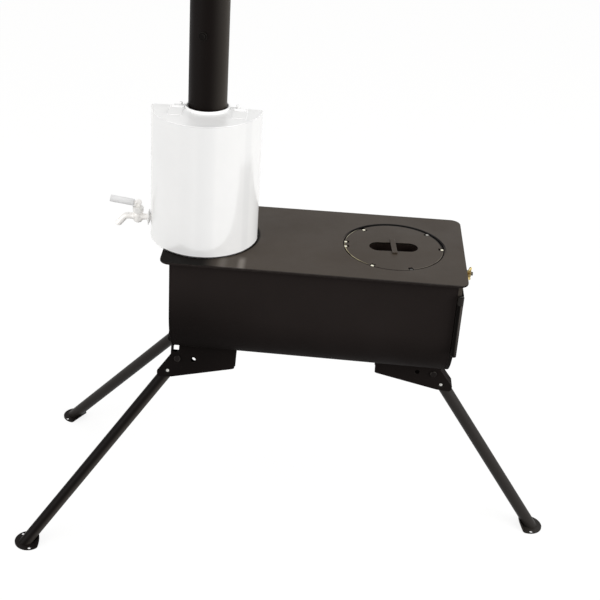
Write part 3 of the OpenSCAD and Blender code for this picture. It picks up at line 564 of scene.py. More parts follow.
def bright_brass(name):
    """Polished brass, with painted glints and dark reflections in patches, and painted shade
    near the stud's line.
    """
    f = Finish(name, (0.80, 0.58, 0.2), 0.24, 1.0)
    stud = middle("shutter_stud")[0]
    glint = f.spread(f.noise(150, 2, 0.5), 0.36, 0.62, soft=True)
    coat = f.mixed(glint, (0.30, 0.17, 0.03), (0.92, 0.76, 0.36))
    # Painted shade on the hub, near the stud's line
    far = f.vector("LENGTH", f.from_point((0, stud.y, stud.z), (0, 1, 1)))
    f.into("Base Color", f.mixed(f.spread(far, 0.0068, 0.0045), coat, (0.05, 0.028, 0.007)))
    f.bumps((f.noise(500, 4, 0.6), 0.02, 0.4))
    return f.material


def seam(name, bare, sooty):
    """The tank's bottom seam: bare over the open side, and dark over the cooking plate as a
    painted contact shadow.
    """
    f = Finish(name, bare, 0.5, 0.0, 0.1)
    over = f.spread(f.coordinate("X"), PLATE_LOW.x - 0.001, PLATE_LOW.x + 0.003)
    f.into("Base Color", f.mixed(over, bare, sooty))
    return f.material


def button_steel(name):
    """A snap button: a bright domed face, with painted shade on its rounded rim."""
    f = Finish(name, (0.75, 0.73, 0.70), 0.3, 1.0)
    worn = f.spread(f.noise(260, 3, 0.6), 0.35, 0.65)
    face = f.mixed(worn, (0.34, 0.33, 0.31), (0.72, 0.71, 0.68))
    # The rounded rim: painted shade
    f.into("Base Color", f.mixed(f.mark("edge_mark"), face, (0.045, 0.042, 0.038)))
    return f.material


def door_edge(name, edge_mark):
    """The door's near edge: a light line as a painted highlight along the outer side of a fold
    darkened as painted shade.
    """
    f = Finish(name, FOLD_SHADE, 0.6, 0.0, 0.03)
    line = f.product(f.band(f.coordinate("X"), MID_X + 0.2268, 0.0024),
                     f.spread(f.coordinate("Z"), TOP_Z - 0.125, TOP_Z - 0.06, 0.35, 1.0))
    f.into("Base Color", f.mixed(line, FOLD_SHADE, edge_mark))
    f.bumps((f.noise(900, 2, 0.6), 0.04, 0.3))
    return f.material


def frame_light_and_shade(name, low, high, rough):
    """The front frame's paint: darker than the body paint as painted shade, and lighter just
    under the cooking plate as painted light.
    """
    f = Finish(name, low, rough, 0.0, 0.03)
    up = f.spread(f.coordinate("Z"), TOP_Z - 0.030, TOP_Z - 0.018, soft=True)
    blotch = f.spread(f.noise(30, 4, 0.55), 0.3, 0.7)
    f.into("Base Color", f.mixed(up, low, f.mixed(blotch, high, times(high, 1.3))))
    f.bumps((f.noise(1500, 2, 0.6), 0.05, 0.28))
    return f.material


def moulded(name, colour, rough, grain):
    """Moulded plastic, or a plain washer, with a fine grain."""
    f = Finish(name, colour, rough, 0.0, 0.4)
    light = tuple(min(1.0, c * 1.12 + 0.004) for c in colour)
    f.into("Base Color", f.mixed(f.spread(f.noise(30, 3, 0.5), 0.3, 0.7), colour, light))
    f.into("Roughness", f.spread(f.noise(90, 3, 0.5), 0.3, 0.7, rough - 0.05, rough + 0.06))
    f.bumps((f.noise(grain, 2, 0.6), 0.08, 0.35))
    return f.material


# ---------------------------------------------------------------- node trees


def tree_with(name, *inputs):
    """A geometry node tree with the inputs Geometry, some named ones and Finish. Returns the
    tree and what it is given."""
    tree = bpy.data.node_groups.new(name, "GeometryNodeTree")
    for label, kind, value in (
        ("Geometry", "Geometry", None), *inputs, ("Finish", "Material", None)
    ):
        socket = tree.interface.new_socket(label, in_out="INPUT", socket_type="NodeSocket" + kind)
        if value is not None:
            socket.default_value = value
    tree.interface.new_socket("Geometry", in_out="OUTPUT", socket_type="NodeSocketGeometry")
    return tree, tree.nodes.new("NodeGroupInput").outputs


def finish_tree(tree, given, result):
    """Ends a tree in Realize Instances and Set Material."""
    real = add(tree, "GeometryNodeRealizeInstances", {"Geometry": result})
    coated = add(tree, "GeometryNodeSetMaterial", {"Geometry": real, "Material": given["Finish"]})
    add(tree, "NodeGroupOutput", {"Geometry": coated}, None)
    return tree


def on_points_tree():
    """Sets a copy of a shape on each point, turned to the point's own direction."""
    tree, given = tree_with("set_on_points", ("Shape", "Object", None), ("Size", "Float", 1.0))
    shape = add(tree, "GeometryNodeObjectInfo", {"Object": given["Shape"]}, "Geometry")
    way, side = [
        add(tree, "GeometryNodeInputNamedAttribute", {"Name": name}, data_type="FLOAT_VECTOR")
        for name in ("way", "side")
    ]
    align = "FunctionNodeAlignRotationToVector"
    turn = add(tree, align, {"Vector": way}, axis="Z")
    turn = add(tree, align, {"Rotation": turn, "Vector": side}, axis="X", pivot_axis="Z")
    return finish_tree(tree, given, add(
        tree, "GeometryNodeInstanceOnPoints",
        {"Points": given["Geometry"], "Instance": shape, "Rotation": turn, "Scale": given["Size"]},
    ))


def weld_tree():
    """Lays overlapping weld drops along the edges of its geometry."""
    tree, given = tree_with(
        "weld_line", ("Spacing", "Float", 0.0016), ("Drop", "Float", 0.0013), ("Seed", "Int", 3)
    )
    line = add(tree, "GeometryNodeMeshToCurve", {"Mesh": given["Geometry"]})
    even = add(tree, "GeometryNodeResampleCurve", {"Curve": line, "Length": given["Spacing"]},
               mode="LENGTH")
    ball = add(tree, "GeometryNodeMeshIcoSphere", {"Subdivisions": 1, "Radius": given["Drop"]})
    smooth = add(tree, "GeometryNodeSetShadeSmooth", {"Geometry": ball})
    smallest, largest = 0.82, 1.12
    size = add(tree, "FunctionNodeRandomValue", {2: smallest, 3: largest, "Seed": given["Seed"]},
               1, data_type="FLOAT")
    return finish_tree(tree, given, add(
        tree, "GeometryNodeInstanceOnPoints", {"Points": even, "Instance": smooth, "Scale": size}
    ))


def pipe_tree():
    """A round bar or pipe along the edges of its geometry, closed at both ends."""
    tree, given = tree_with("pipe_run", ("Radius", "Float", 0.005), ("Sides", "Int", 32))
    line = add(tree, "GeometryNodeMeshToCurve", {"Mesh": given["Geometry"]})
    outline = add(tree, "GeometryNodeCurvePrimitiveCircle",
                  {"Radius": given["Radius"], "Resolution": given["Sides"]})
    pipe = add(tree, "GeometryNodeCurveToMesh",
               {"Curve": line, "Profile Curve": outline, "Fill Caps": True})
    return finish_tree(tree, given, add(tree, "GeometryNodeSetShadeSmooth", {"Geometry": pipe}))


def fluted_tree():
    """A grip: a round bar with shallow flutes along it and rounded ends."""
    tree, given = tree_with("fluted_grip", ("Flutes", "Int", 18), ("Depth", "Float", 0.0002))
    number, vector = "ShaderNodeMath", "ShaderNodeVectorMath"
    place = add(tree, "GeometryNodeInputPosition")
    split = add(tree, "ShaderNodeSeparateXYZ", {"Vector": place}, None).outputs
    angle = add(tree, number, {0: split["Y"], 1: split["X"]}, operation="ARCTAN2")
    many = add(tree, number, {0: angle, 1: given["Flutes"]}, operation="MULTIPLY")
    wave = add(tree, number, {0: many}, operation="SINE")
    deep = add(tree, number, {0: wave, 1: given["Depth"]}, operation="MULTIPLY")
    flat = add(tree, "ShaderNodeCombineXYZ", {"X": split["X"], "Y": split["Y"]})
    unit = add(tree, vector, {0: flat}, operation="NORMALIZE")
    move = add(tree, vector, {0: unit, "Scale": deep}, operation="SCALE")
    return finish_tree(tree, given, add(
        tree, "GeometryNodeSetPosition", {"Geometry": given["Geometry"], "Offset": move}
    ))


def grown(tree_name, mesh, finish, **values):
    """Runs a tree on a mesh and returns the result as a plain mesh."""
    tree, values = TREES[tree_name], {**values, "Finish": FINISHES[finish]}
    inputs = {
        item.identifier: values[item.name] for item in tree.interface.items_tree
        if item.in_out == "INPUT" and item.name in values
    }
    made = modified(mesh, "NODES", {"node_group": tree}, inputs)
    if not made.polygons:
        raise RuntimeError("the tree " + tree_name + " made nothing")
    return made


def line_mesh(points, closed=False):
    """A chain of edges through points in metres."""
    mesh = bpy.data.meshes.new("line")
    edges = [(i, i + 1) for i in range(len(points) - 1)]
    if closed:
        edges.append((len(points) - 1, 0))
    mesh.from_pydata([tuple(p) for p in points], edges, [])
    return mesh


def copies_on(points, way, side, shape_bm, finish):
    """Copies of a shape, drawn in millimetres, on points in metres. way is the direction that
    each copy's Z axis takes, and side that of its X axis."""
    mesh = bpy.data.meshes.new("points")
    mesh.from_pydata(points, [], [])
    for name, direction in (("way", way), ("side", side)):
        for entry in mesh.attributes.new(name, "FLOAT_VECTOR", "POINT").data:
            entry.vector = direction
    for f in shape_bm.faces:
        f.smooth = True
    shape = placed("shape", in_metres(shape_bm))
    made = grown("set_on_points", mesh, finish, Shape=shape, Size=1.0)
    bpy.data.objects.remove(shape)
    return made


def weld(name, body, lines, drop):
    """Weld beads along lines of points in metres, as one piece. drop is in millimetres."""
    bm = bmesh.new()
    for number, (points, closed) in enumerate(lines):
        bm.from_mesh(grown(
            "weld_line", line_mesh(points, closed), "paint", Spacing=drop * 1.15 * MM,
            Drop=drop * MM, Seed=number + 3,
        ))
    for f in bm.faces:
        f.material_index = 0
    settle(name, mesh_of(bm), body, [], "black_paint", "paint", crease=80)


# ---------------------------------------------------------------- settings


COLOUR = {"subtype": "COLOR", "size": 3, "min": 0, "max": 1}


class StovePaint(bpy.types.PropertyGroup):
    """Colours and wear of the heat-proof paint, with a painted highlight on its rounded edges
    and painted light on the cooking plate
    """

    side_colour: FloatVectorProperty(
        name="Body paint", description="Colour of the heat-proof paint on the firebox and legs",
        **COLOUR, default=(0.0165, 0.0132, 0.0124),
    )
    flue_colour: FloatVectorProperty(
        name="Flue paint", description="Colour of the heat-proof paint on the flue",
        **COLOUR, default=(0.0042, 0.0028, 0.0024),
    )
    # Painted light: the body paint made lighter where it faces up, on the cooking plate, the
    # hotplate and its bar
    plate_lit_colour: FloatVectorProperty(
        name="Plate paint", description="Colour of the paint on the cooking plate",
        **COLOUR, default=(0.036, 0.0258, 0.0172),
    )
    paint_rough: FloatProperty(
        name="Paint roughness", description="How matt the paint is",
        subtype="FACTOR", min=0.1, max=1, default=0.72,
    )
    # How strongly the rounded edges take rubbed wear and a painted highlight
    edge_rub_and_glint: FloatProperty(
        name="Rubbed edges", description="How far the paint is rubbed on the edges",
        subtype="FACTOR", min=0, max=1, default=0.35,
    )


class StoveMetal(bpy.types.PropertyGroup):
    """Finish and fine sizes of the water tank and its tap"""

    tank_rough: FloatProperty(
        name="Tank roughness", description="How satin the water tank is",
        subtype="FACTOR", min=0.02, max=1, default=0.14,
    )
    tank_corner: FloatProperty(
        name="Tank corner", description="Radius of the tank's back corners",
        subtype="DISTANCE", unit="LENGTH", min=0.002, max=0.02, default=0.007,
    )
    grip_flutes: IntProperty(
        name="Grip flutes", description="Number of flutes round the tap's grip",
        min=8, max=40, default=20,
    )


class StoveStage(bpy.types.PropertyGroup):
    """Light on the stove, and its shadow on the floor"""

    sky: FloatProperty(
        name="Room light", description="Strength of the even light from all round",
        min=0, max=3, default=0.74,
    )
    lamp: FloatProperty(
        name="Lamps", description="Power of the soft lamp on each side of the stove",
        subtype="POWER", unit="POWER", min=0, max=400, default=34,
    )
    shade: FloatProperty(
        name="Floor shade", description="How much of the stove's shadow the floor shows",
        subtype="FACTOR", min=0, max=1, default=0.2,
    )


class STOVE_OT_finishes(bpy.types.Operator):
    """Make the paints, metals and node trees that the pieces use"""

    bl_idname = "stove.finishes"
    bl_label = "Finishes"

    def execute(self, context):
        paint, metals = context.scene.stove_paint, context.scene.stove_metal
        self.paints(tuple(paint.side_colour), tuple(paint.flue_colour),
                    tuple(paint.plate_lit_colour), paint.paint_rough, paint.edge_rub_and_glint)
        self.metals(metals.tank_rough)
        TREES.update(
            set_on_points=on_points_tree(), weld_line=weld_tree(), pipe_run=pipe_tree(),
            fluted_grip=fluted_tree(),
        )
        return {"FINISHED"}

    def paints(self, side, flue, plate, rough, edge_rub_and_glint):
        """Each paint has a dark and a light tone, its roughness, its gloss, the strength of its
        rubbed wear and painted highlight on the rounded edges, and the light and shade that it
        paints by place.
        """
        satin = rough - 0.24
        for key, name, *rest in (
            ("paint", "heat_paint", side, times(side, 1.2), rough, 0.02, edge_rub_and_glint, firebox_shade),
            ("flue", "flue_paint", flue, times(flue, 1.3), satin, 0.06, edge_rub_and_glint, flue_shade),
            # The cooking plate's paint: a lighter copy of the body paint, as painted light
            ("plate", "plate_paint", plate, times(plate, 1.14), satin, 0.22, edge_rub_and_glint, None,
             plate_light_and_shade),
            # Lit and shaded copies of the leg paint: painted shade on the near leg, painted light
            # on the far and front legs
            ("dark_leg", "dark_leg", (0.0052, 0.0040, 0.0036), (0.0065, 0.0052, 0.0046), 0.36,
             0.05, edge_rub_and_glint, near_leg_shade),
            ("far_leg", "far_leg", (0.019, 0.0165, 0.0148), (0.022, 0.0195, 0.0175), 0.42,
             0.07, edge_rub_and_glint),
            ("front_leg", "front_leg", (0.022, 0.0195, 0.0175), (0.027, 0.024, 0.022), 0.4,
             0.10, edge_rub_and_glint),
            # Painted shade: near black, on the far side of the hotplate's groove and in the lid's
            # recesses
            ("soot", "soot", (0.003, 0.0026, 0.0024), (0.005, 0.0042, 0.004), 0.85, 0.0, 0.0),
            ("inside", "sooty_steel", (0.012, 0.010, 0.009), (0.030, 0.024, 0.020), 0.62, 0.25,
             0.5),
            # A darker copy of the body paint: the pivot bolts, and painted shade on the near and
            # far feet
            ("bolt", "bolt_paint", times(side, 0.5), times(side, 0.7), 0.42, 0.06, 0.4),
            ("head", "head_paint", (0.0025, 0.0021, 0.0019), (0.0085, 0.0072, 0.0066), 0.5,
             0.03, 0.25),
            ("cup", "burnt_cup", (0.013, 0.0092, 0.0078), (0.017, 0.012, 0.010), 0.8, 0.0, 0.0),
        ):
            FINISHES[key] = painted(name, *rest)
        # The front frame: painted shade below, painted light just under the cooking plate
        FINISHES["frame"] = frame_light_and_shade("frame_light_and_shade", times(side, 0.45), (0.05, 0.043, 0.036),
                                        rough)
        # The colour of the painted highlight on the door's near edge
        FINISHES["door_edge"] = door_edge("door_edge", (0.080, 0.071, 0.065))

    def metals(self, satin):
        """Each metal has a dark and a light tone and its roughness."""
        FINISHES.update(
            tank=stainless("satin_stainless", (0.942, 0.945, 0.946), (0.972, 0.974, 0.974),
                           satin),
            tank_top=stainless("satin_top", (0.94, 0.943, 0.945), (0.975, 0.977, 0.978),
                               satin + 0.2),
            # The bottom seam: bare, with a painted contact shadow over the cooking plate
            seam=seam("tank_seam_and_shadow", (0.93, 0.93, 0.925), (0.003, 0.0026, 0.0024)),
            brass=bright_brass("bright_brass"),
            bonnet=metal("grey_brass", (0.84, 0.832, 0.815), (0.90, 0.892, 0.875), 0.34, 500,
                         0.15),
            cast=metal("pale_brass", (0.93, 0.912, 0.885), (0.985, 0.965, 0.94), 0.34, 500,
                       0.15),
            # Bare steel as bright as a painted glint, and half as bright, for the centring lugs
            bright=metal("bare_steel_glint", (0.80, 0.76, 0.58), (0.95, 0.92, 0.76), 0.3, share=0.6),
            mid_bright=metal("mid_steel", (0.30, 0.29, 0.26), (0.60, 0.58, 0.54), 0.3,
                             share=0.6),
            dull=metal("dull_steel", (0.03, 0.028, 0.026), (0.10, 0.095, 0.09), 0.34),
            button=button_steel("button_steel"),
            washer=moulded("pale_washer", (0.975, 0.965, 0.95), 0.6, 700),
            grip=moulded("pale_grip", (0.75, 0.75, 0.755), 0.5, 700),
            dark_grip=moulded("black_grip", (0.012, 0.012, 0.013), 0.48, 700),
        )


# ---------------------------------------------------------------- pieces


def lid_angle(point):
    """The plan direction of a point from the hotplate's middle, in degrees."""
    return math.degrees(math.atan2(point.y, point.x - LID_X)) % 360


def rim_finish(point):
    """Which finish the hotplate's rim has at a point: 1 is the body paint, 2 painted shade."""
    return 1 if 178 < lid_angle(point) < 340 else 2


class STOVE_OT_firebox(bpy.types.Operator):
    """Dress the top plate, firebox, end plates and what is inside"""

    bl_idname = "stove.firebox"
    bl_label = "Firebox"

    def execute(self, context):
        self.plate()
        dressed("firebox_shell", "black_paint", "paint", 0.4)
        dressed("rear_end_plate", "black_paint", "paint", 0.4)
        dressed("front_frame", "black_paint", "frame", 1.2, 3)
        for node in ("fire_grate", "baffle_plate", "hotplate_seat"):
            dressed(node, "dark_steel", "inside", 0.3, 1)
        self.welds()
        return {"FINISHED"}

    def plate(self):
        """The cooking plate: on top a lighter copy of the body paint as painted light, on its
        sides the body paint, and painted shade on the far side of its hole.
        """
        bm = node_shape("top_plate")
        soften(bm, 0.4, 3)
        hole, small, level = LID_RIM + 2.2 * MM, 4e-5, 0.97
        for f in bm.faces:
            c = f.calc_center_median()
            if math.hypot(c.x - LID_X, c.y) < hole and f.calc_area() < small:
                f.material_index = rim_finish(c)
            # Side faces: the darker body paint, beside the top's painted light
            elif abs(f.normal.z) < level:
                f.material_index = 1
        piece("top_plate", bm, "black_paint", "plate", "paint", "soot")

    def welds(self):
        """Weld lines where the firebox, its ends, the spigot and the plate meet."""
        shell_low, shell_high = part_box("firebox_shell")
        end_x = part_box("rear_end_plate")[0].x
        radius, under, proud = shell_high.y, PLATE_LOW.z - 0.0003, 0.0003
        lines = [
            ([(x, side * (radius + proud), under) for x in (end_x, shell_high.x)], False)
            for side in (-1, 1)
        ]
        belly = arc(0, shell_low.z + radius, radius, 180, 360, 64)
        section = [(-radius, under), *belly, (radius, under)]
        for x in (shell_high.x + 0.0004, end_x + 0.002):
            lines.append(([(x, y, z) for y, z in section], False))
        spigot_low, spigot_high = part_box("flue_spigot")
        foot = ring((spigot_high.x - spigot_low.x) / 2 + 0.0004, 48)
        lines.append(([(FLUE_X + x, y, TOP_Z + proud) for x, y in foot], True))
        weld("firebox_welds", "firebox", lines, 0.9)


class STOVE_OT_hotplate(bpy.types.Operator):
    """Dress the lift-off hotplate, its bar, cup and centring lugs"""

    bl_idname = "stove.hotplate"
    bl_label = "Hotplate"

    def execute(self, context):
        bm = node_shape("hotplate_lid")
        soften(bm, 0.45)
        rim, level, upright = LID_RIM - 0.5 * MM, 0.95, 0.3
        for f in bm.faces:
            c = f.calc_center_median()
            if math.hypot(c.x - LID_X, c.y) > rim and abs(f.normal.z) < level:
                f.material_index = rim_finish(c)
            # Other upright faces, in the lid's recesses: painted shade
            elif abs(f.normal.z) < upright:
                f.material_index = 2
        piece("hotplate_lid", bm, "black_paint", "plate", "paint", "soot")
        dressed("lid_bar", "black_paint", "plate", 0.8, 3)
        dressed("lid_cup", "dark_steel", "cup", 0.4)
        self.lugs()
        return {"FINISHED"}

    def lugs(self):
        """The centring lugs: bare steel with painted glints, bright but dull between 265 and 320
        degrees and half bright between 18 and 70 degrees.
        """
        bm = node_shape("centring_lugs")
        soften(bm, 0.35)
        for f in bm.faces:
            angle = lid_angle(f.calc_center_median())
            f.material_index = 1 if 265 < angle < 320 else 2 if 18 < angle < 70 else 0
        piece("centring_lugs", bm, "bare_steel", "bright", "dull", "mid_bright")


class STOVE_OT_flue(bpy.types.Operator):
    """Dress the flue, its spigot and the damper"""

    bl_idname = "stove.flue"
    bl_label = "Flue and damper"

    def execute(self, context):
        dressed("flue_pipe", "black_paint", "flue", 0.25, 1)
        dressed("flue_spigot", "black_paint", "paint", 0.4)
        dressed("damper_plate", "dark_steel", "inside", 0.3, 1)
        dressed("damper_spindle", "dark_steel", "head", 0.6)
        dressed("damper_front_washer", "dark_steel", "head", 0.4)
        dressed("damper_handle", "black_paint", "paint", 0.3)
        return {"FINISHED"}


# The tank's plan and sheet, in millimetres
TANK_ROUND, TANK_BACK, FLUE_BITE, TANK_SHEET = 86.5, -3.0, 34, 1.2


def tank_line(grow, corner, part):
    """The tank's plan in millimetres, as seen from above, about the flue's axis."""
    x = math.sqrt((TANK_ROUND - corner) ** 2 - corner ** 2)
    if part == "front":
        lean = math.degrees(math.asin(corner / (TANK_ROUND - corner)))
        r, c, y = TANK_ROUND + grow, corner + grow, TANK_BACK - corner
        line = arc(-x, y, c, 90, 180 + lean, 14)
        line += arc(0, TANK_BACK, r, 180 + lean, 360 - lean, 160)[1:]
        return line + arc(x, y, c, -lean, 90, 14)[1:]
    bite, y = FLUE_BITE - grow, TANK_BACK + grow
    lean = math.degrees(math.asin(-y / bite))
    line = [(x, y), ((x + bite) / 2, y), *arc(0, 0, bite, -lean, -180 + lean, 64)]
    return line + [(-(x + bite) / 2, y), (-x, y)]


class STOVE_OT_tank(bpy.types.Operator):
    """Build the water tank, its collar, filler flaps, strap and screws"""

    bl_idname = "stove.tank"
    bl_label = "Water tank"

    def execute(self, context):
        corner = context.scene.stove_metal.tank_corner / MM
        bottom = (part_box("tank_base")[0].z - TOP_Z) / MM
        rim = (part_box("tank_front_wall")[1].z - TOP_Z) / MM + TANK_SHEET
        inside, rows = rim - bottom - 2 * TANK_SHEET, 6
        levels = [bottom + TANK_SHEET + inside * i / rows for i in range(rows + 1)]
        for part in ("front", "back"):
            bm = bmesh.new()
            wall(bm, tank_line(0, corner, part), tank_line(-TANK_SHEET, corner, part), levels,
                 AT_FLUE)
            piece("tank_" + part + "_wall", bm, "stainless", "tank")
        edge = tank_line(-0.15, corner, "front") + tank_line(-0.15, corner, "back")[1:-1]
        holes = [self.filler("filler_flap_left"), self.filler("filler_flap_right")]
        bm = self.flat([edge, *holes], rim - TANK_SHEET)
        inner, outer, start, sweep = 34.1, 36, 185.2, 169.6
        collar = [(inner, rim - 1), (outer, rim - 1), (outer, rim + 3.0), (35.7, rim + 3.6),
                  (35.0, rim + 3.8), (34.4, rim + 3.6), (inner, rim + 3.0)]
        lathe(bm, collar, 72, AT_FLUE, start, sweep, loop=True)
        piece("tank_top", bm, "stainless", "tank_top")
        piece("tank_base", self.flat([edge], bottom), "stainless", "tank")
        self.seams(tank_line(-0.55, corner, "front"), rim, bottom)
        for node in ("filler_flap_left", "filler_flap_right", "tank_strap"):
            dressed(node, "stainless", "tank", 0.3)
        dressed("flap_hinge_rods", "bare_steel", "tank", 0.3)
        self.screws()
        return {"FINISHED"}

    def flat(self, outlines, bottom):
        """A flat sheet of the tank with rounded edges."""
        bm = bmesh.new()
        sheet(bm, outlines, bottom, bottom + TANK_SHEET, AT_FLUE)
        flatten_faces(bm)
        soften(bm, 0.4)
        return bm

    def filler(self, flap):
        """The filler hole under a flap, as a plan line about the flue's axis."""
        low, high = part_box(flap)
        x = ((low.x + high.x) / 2 - FLUE_X) / MM
        y = ((low.y + high.y) / 2) / MM + 0.9
        r, reach = 7.0, 5.5
        return arc(x, y - reach, r, 180, 360) + arc(x, y + reach, r, 0, 180)

    def seams(self, line, rim, bottom):
        """The folded seams that run round the tank's top and bottom. Over the cooking plate the
        bottom one is dark, as a painted contact shadow.
        """
        for name, z, r, finish in (("tank_top_seam", rim - 0.45, 0.85, "tank"),
                                   ("tank_bottom_seam", bottom + 0.95, 0.95, "seam")):
            points = [AT_FLUE @ Vector((x, y, z)) for x, y in line]
            mesh = grown("pipe_run", line_mesh(points), finish, Radius=r * MM, Sides=14)
            settle(name, mesh, "water_tank", [], "stainless", finish, crease=60)

    def screws(self):
        """The two screws that hold the strap's tabs on the tank's top."""
        boxes = solids_of("strap_screws")
        tops = [((low.x + high.x) / 2, (low.y + high.y) / 2, high.z) for low, high in boxes]
        low, high = boxes[-1]
        tall = (high.z - low.z) / MM
        bm = bmesh.new()
        lathe(bm, [(0, -tall), (1.8, -tall), (1.8, -5.5), (2.7, -5.4), (2.7, -0.9), (2.2, -0.2),
                   (1.3, 0), (0.9, 0), (0.9, -1.2), (0, -1.2)], 24)
        mesh = copies_on(tops, (0, 0, 1), (1, 0, 0), bm, "tank")
        settle("strap_screws_finished", mesh, "water_tank", ["strap_screws"], "bare_steel",
               "tank")


class STOVE_OT_tap(bpy.types.Operator):
    """Build the tap: flange, cast body, spout, bonnet, plug and grip"""

    bl_idname = "stove.tap"
    bl_label = "Tap"

    # Sizes in millimetres, and how far the spout bends down and the lever leans, in degrees
    bore, pipe, bend, straight, drop = 3.4, 5.2, 9.0, 16.6, 50
    across_flats, eye_below_top, lean = 15.5, 5.4, -82.5

    def execute(self, context):
        flange, low, high = middle("tap_flange")
        self.x, self.y, self.z = middle("tap_bonnet")[0].x, flange.y, flange.z
        a, b = (low.x - self.x) / MM, (high.x - self.x) / MM
        bm = bmesh.new()
        lathe(bm, [(5.1, a), (11.0, a), (12.1, a + 0.3), (12.5, a + 0.8), (12.5, a + 1.0),
                   (7.5, b), (5.1, b)], 64, self.at(turned(90, "Y")), loop=True)
        piece("tap_flange", bm, "brass", "washer")
        dressed("tap_lock_nut", "brass", "cast", 0.5)
        self.body(self.at(), self.at(turned(90, "Y")))
        self.spout(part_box("tap_spout")[1].x)
        self.bonnet(*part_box("tap_bonnet"))
        eye = (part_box("tap_plug")[1].z - self.z) / MM - self.eye_below_top
        self.plug(eye)
        self.grip(context.scene.stove_metal.grip_flutes, eye)
        return {"FINISHED"}

    def at(self, turn=Matrix(), up=0):
        """A frame in millimetres on the tap's upright axis."""
        return local(self.x, self.y, self.z + up * MM, turn)

    def body(self, upright, lying):
        """The cast body, the pipe from the tank and the start of the spout."""
        bore, pipe = self.bore, self.pipe
        tail = (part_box("tap_body")[1].x - self.x) / MM
        bm = bmesh.new()
        lathe(bm, [(0, -10.5), (2.2, -10.5), (2.9, -10.1), (3.2, -9.2), (5.6, -8.7), (6.9, -7.6),
                   (7.4, -5.8), (7.5, -2), (7.5, 4.4), (7.1, 5.4), (6.6, 5.9), (6.9, 6.4),
                   (7.5, 6.9), (7.5, 8.5), (0, 8.5)], 64, upright)
        lathe(bm, [(bore, 0), (5.0, 0), (6.4, 6.4), (5.5, 7.6), (5.0, 9.5), (5.0, tail - 0.6),
                   (4.5, tail), (bore, tail)], 48, lying, loop=True)
        lathe(bm, [(bore, 0), (pipe, 0), (6.6, -6.4), (5.7, -7.8), (pipe, -9.6), (pipe, -16),
                   (bore, -16)], 48, lying, loop=True)
        piece("tap_body", bm, "brass", "cast", crease=50)

    def spout(self, start):
        """A bent pipe with a square-cut mouth: the wall is a ring swept along its line."""
        turns = [math.radians(t) for t in range(5, self.drop + 1, 5)]
        path = [(0, 0)] + [
            (-self.bend * math.sin(t), -self.bend + self.bend * math.cos(t)) for t in turns
        ]
        x, z = path[-1]
        dx, dz = -math.cos(math.radians(self.drop)), -math.sin(math.radians(self.drop))
        path += [(x + dx * s, z + dz * s) for s in (4, 8, 12, self.straight - 1, self.straight)]
        sides, lip, level = 40, 0.25, 2.6 * MM
        turns = [2 * math.pi * k / sides for k in range(sides)]
        bm = bmesh.new()
        rings = []
        for i, (px, pz) in enumerate(path):
            ax, az = path[max(0, i - 1)]
            bx, bz = path[min(len(path) - 1, i + 1)]
            along = Vector((bx - ax, 0, bz - az)).normalized()
            up, side = Vector((-along.z, 0, along.x)), Vector((0, 1, 0))
            outside = self.pipe + (lip if i == len(path) - 2 else 0.0)
            points = [Vector((px, 0, pz)) + (up * math.cos(t) + side * math.sin(t)) * r
                      for r in (self.bore, outside) for t in turns]
            rings.append([bm.verts.new((start + p.x * MM, self.y + p.y * MM, self.z + p.z * MM))
                          for p in points])
        pairs = [(k, (k + 1) % sides) for k in range(sides)]
        for a, b in zip(rings, rings[1:]):
            for first in (0, sides):
                for k, m in pairs:
                    bm.faces.new((a[first + k], a[first + m], b[first + m], b[first + k]))
        floor = min(v.co.z for v in rings[-1]) + level
        slope = Vector((dx, 0, dz))
        for v in [v for points in rings[-3:] for v in points if v.co.z < floor]:
            v.co -= slope * ((v.co.z - floor) / slope.z)
        for end in (rings[0], rings[-1]):
            for k, m in pairs:
                bm.faces.new((end[k], end[m], end[sides + m], end[sides + k]))
        piece("tap_spout", bm, "brass", "cast", crease=50)

    def bonnet(self, low, high):
        """The hexagonal bonnet with the ring that the plug turns in."""
        bottom, top = (low.z - self.z) / MM, (high.z - self.z) / MM
        bm = bmesh.new()
        across_corners = self.across_flats / math.cos(math.radians(30)) / 2
        sheet(bm, [ring(across_corners, 6)], bottom, top, self.at())
        soften(bm, 0.9, 3, 20)
        lathe(bm, [(3.05, top - 0.5), (5.6, top - 0.5), (5.6, top + 0.1), (5.0, top + 0.5),
                   (3.05, top + 0.5)], 48, self.at(), loop=True)
        piece("tap_bonnet", bm, "brass", "bonnet")

    def plug(self, eye):
        """The plug with its round eye, and the rod that carries the grip."""
        lever = self.at(turned(self.lean, "Y"), eye)
        bm = bmesh.new()
        lathe(bm, [(0, -7.3), (4.5, -7.3), (4.6, -7), (4.6, 2), (3, 2.4), (3, eye), (0, eye)], 40,
              self.at())
        half = [(0, 3.4), (2.0, 3.4), (2.3, 3.7), (2.3, 4.7), (2.6, 5.0), (4.6, 5.0), (5.2, 4.6),
                (5.4, 3.9)]
        lathe(bm, half + [(r, -z) for r, z in reversed(half)], 48, self.at(turned(90, "X"), eye))
        lathe(bm, [(0, 0), (2, 0), (2, 12.6), (1.4, 13.4), (0, 13.4)], 24, lever)
        lathe(bm, [(2.0, 5.0), (3.4, 5.0), (3.4, 6.0), (2.0, 6.4)], 32, lever, loop=True)
        piece("tap_plug", bm, "brass", "cast", crease=50)

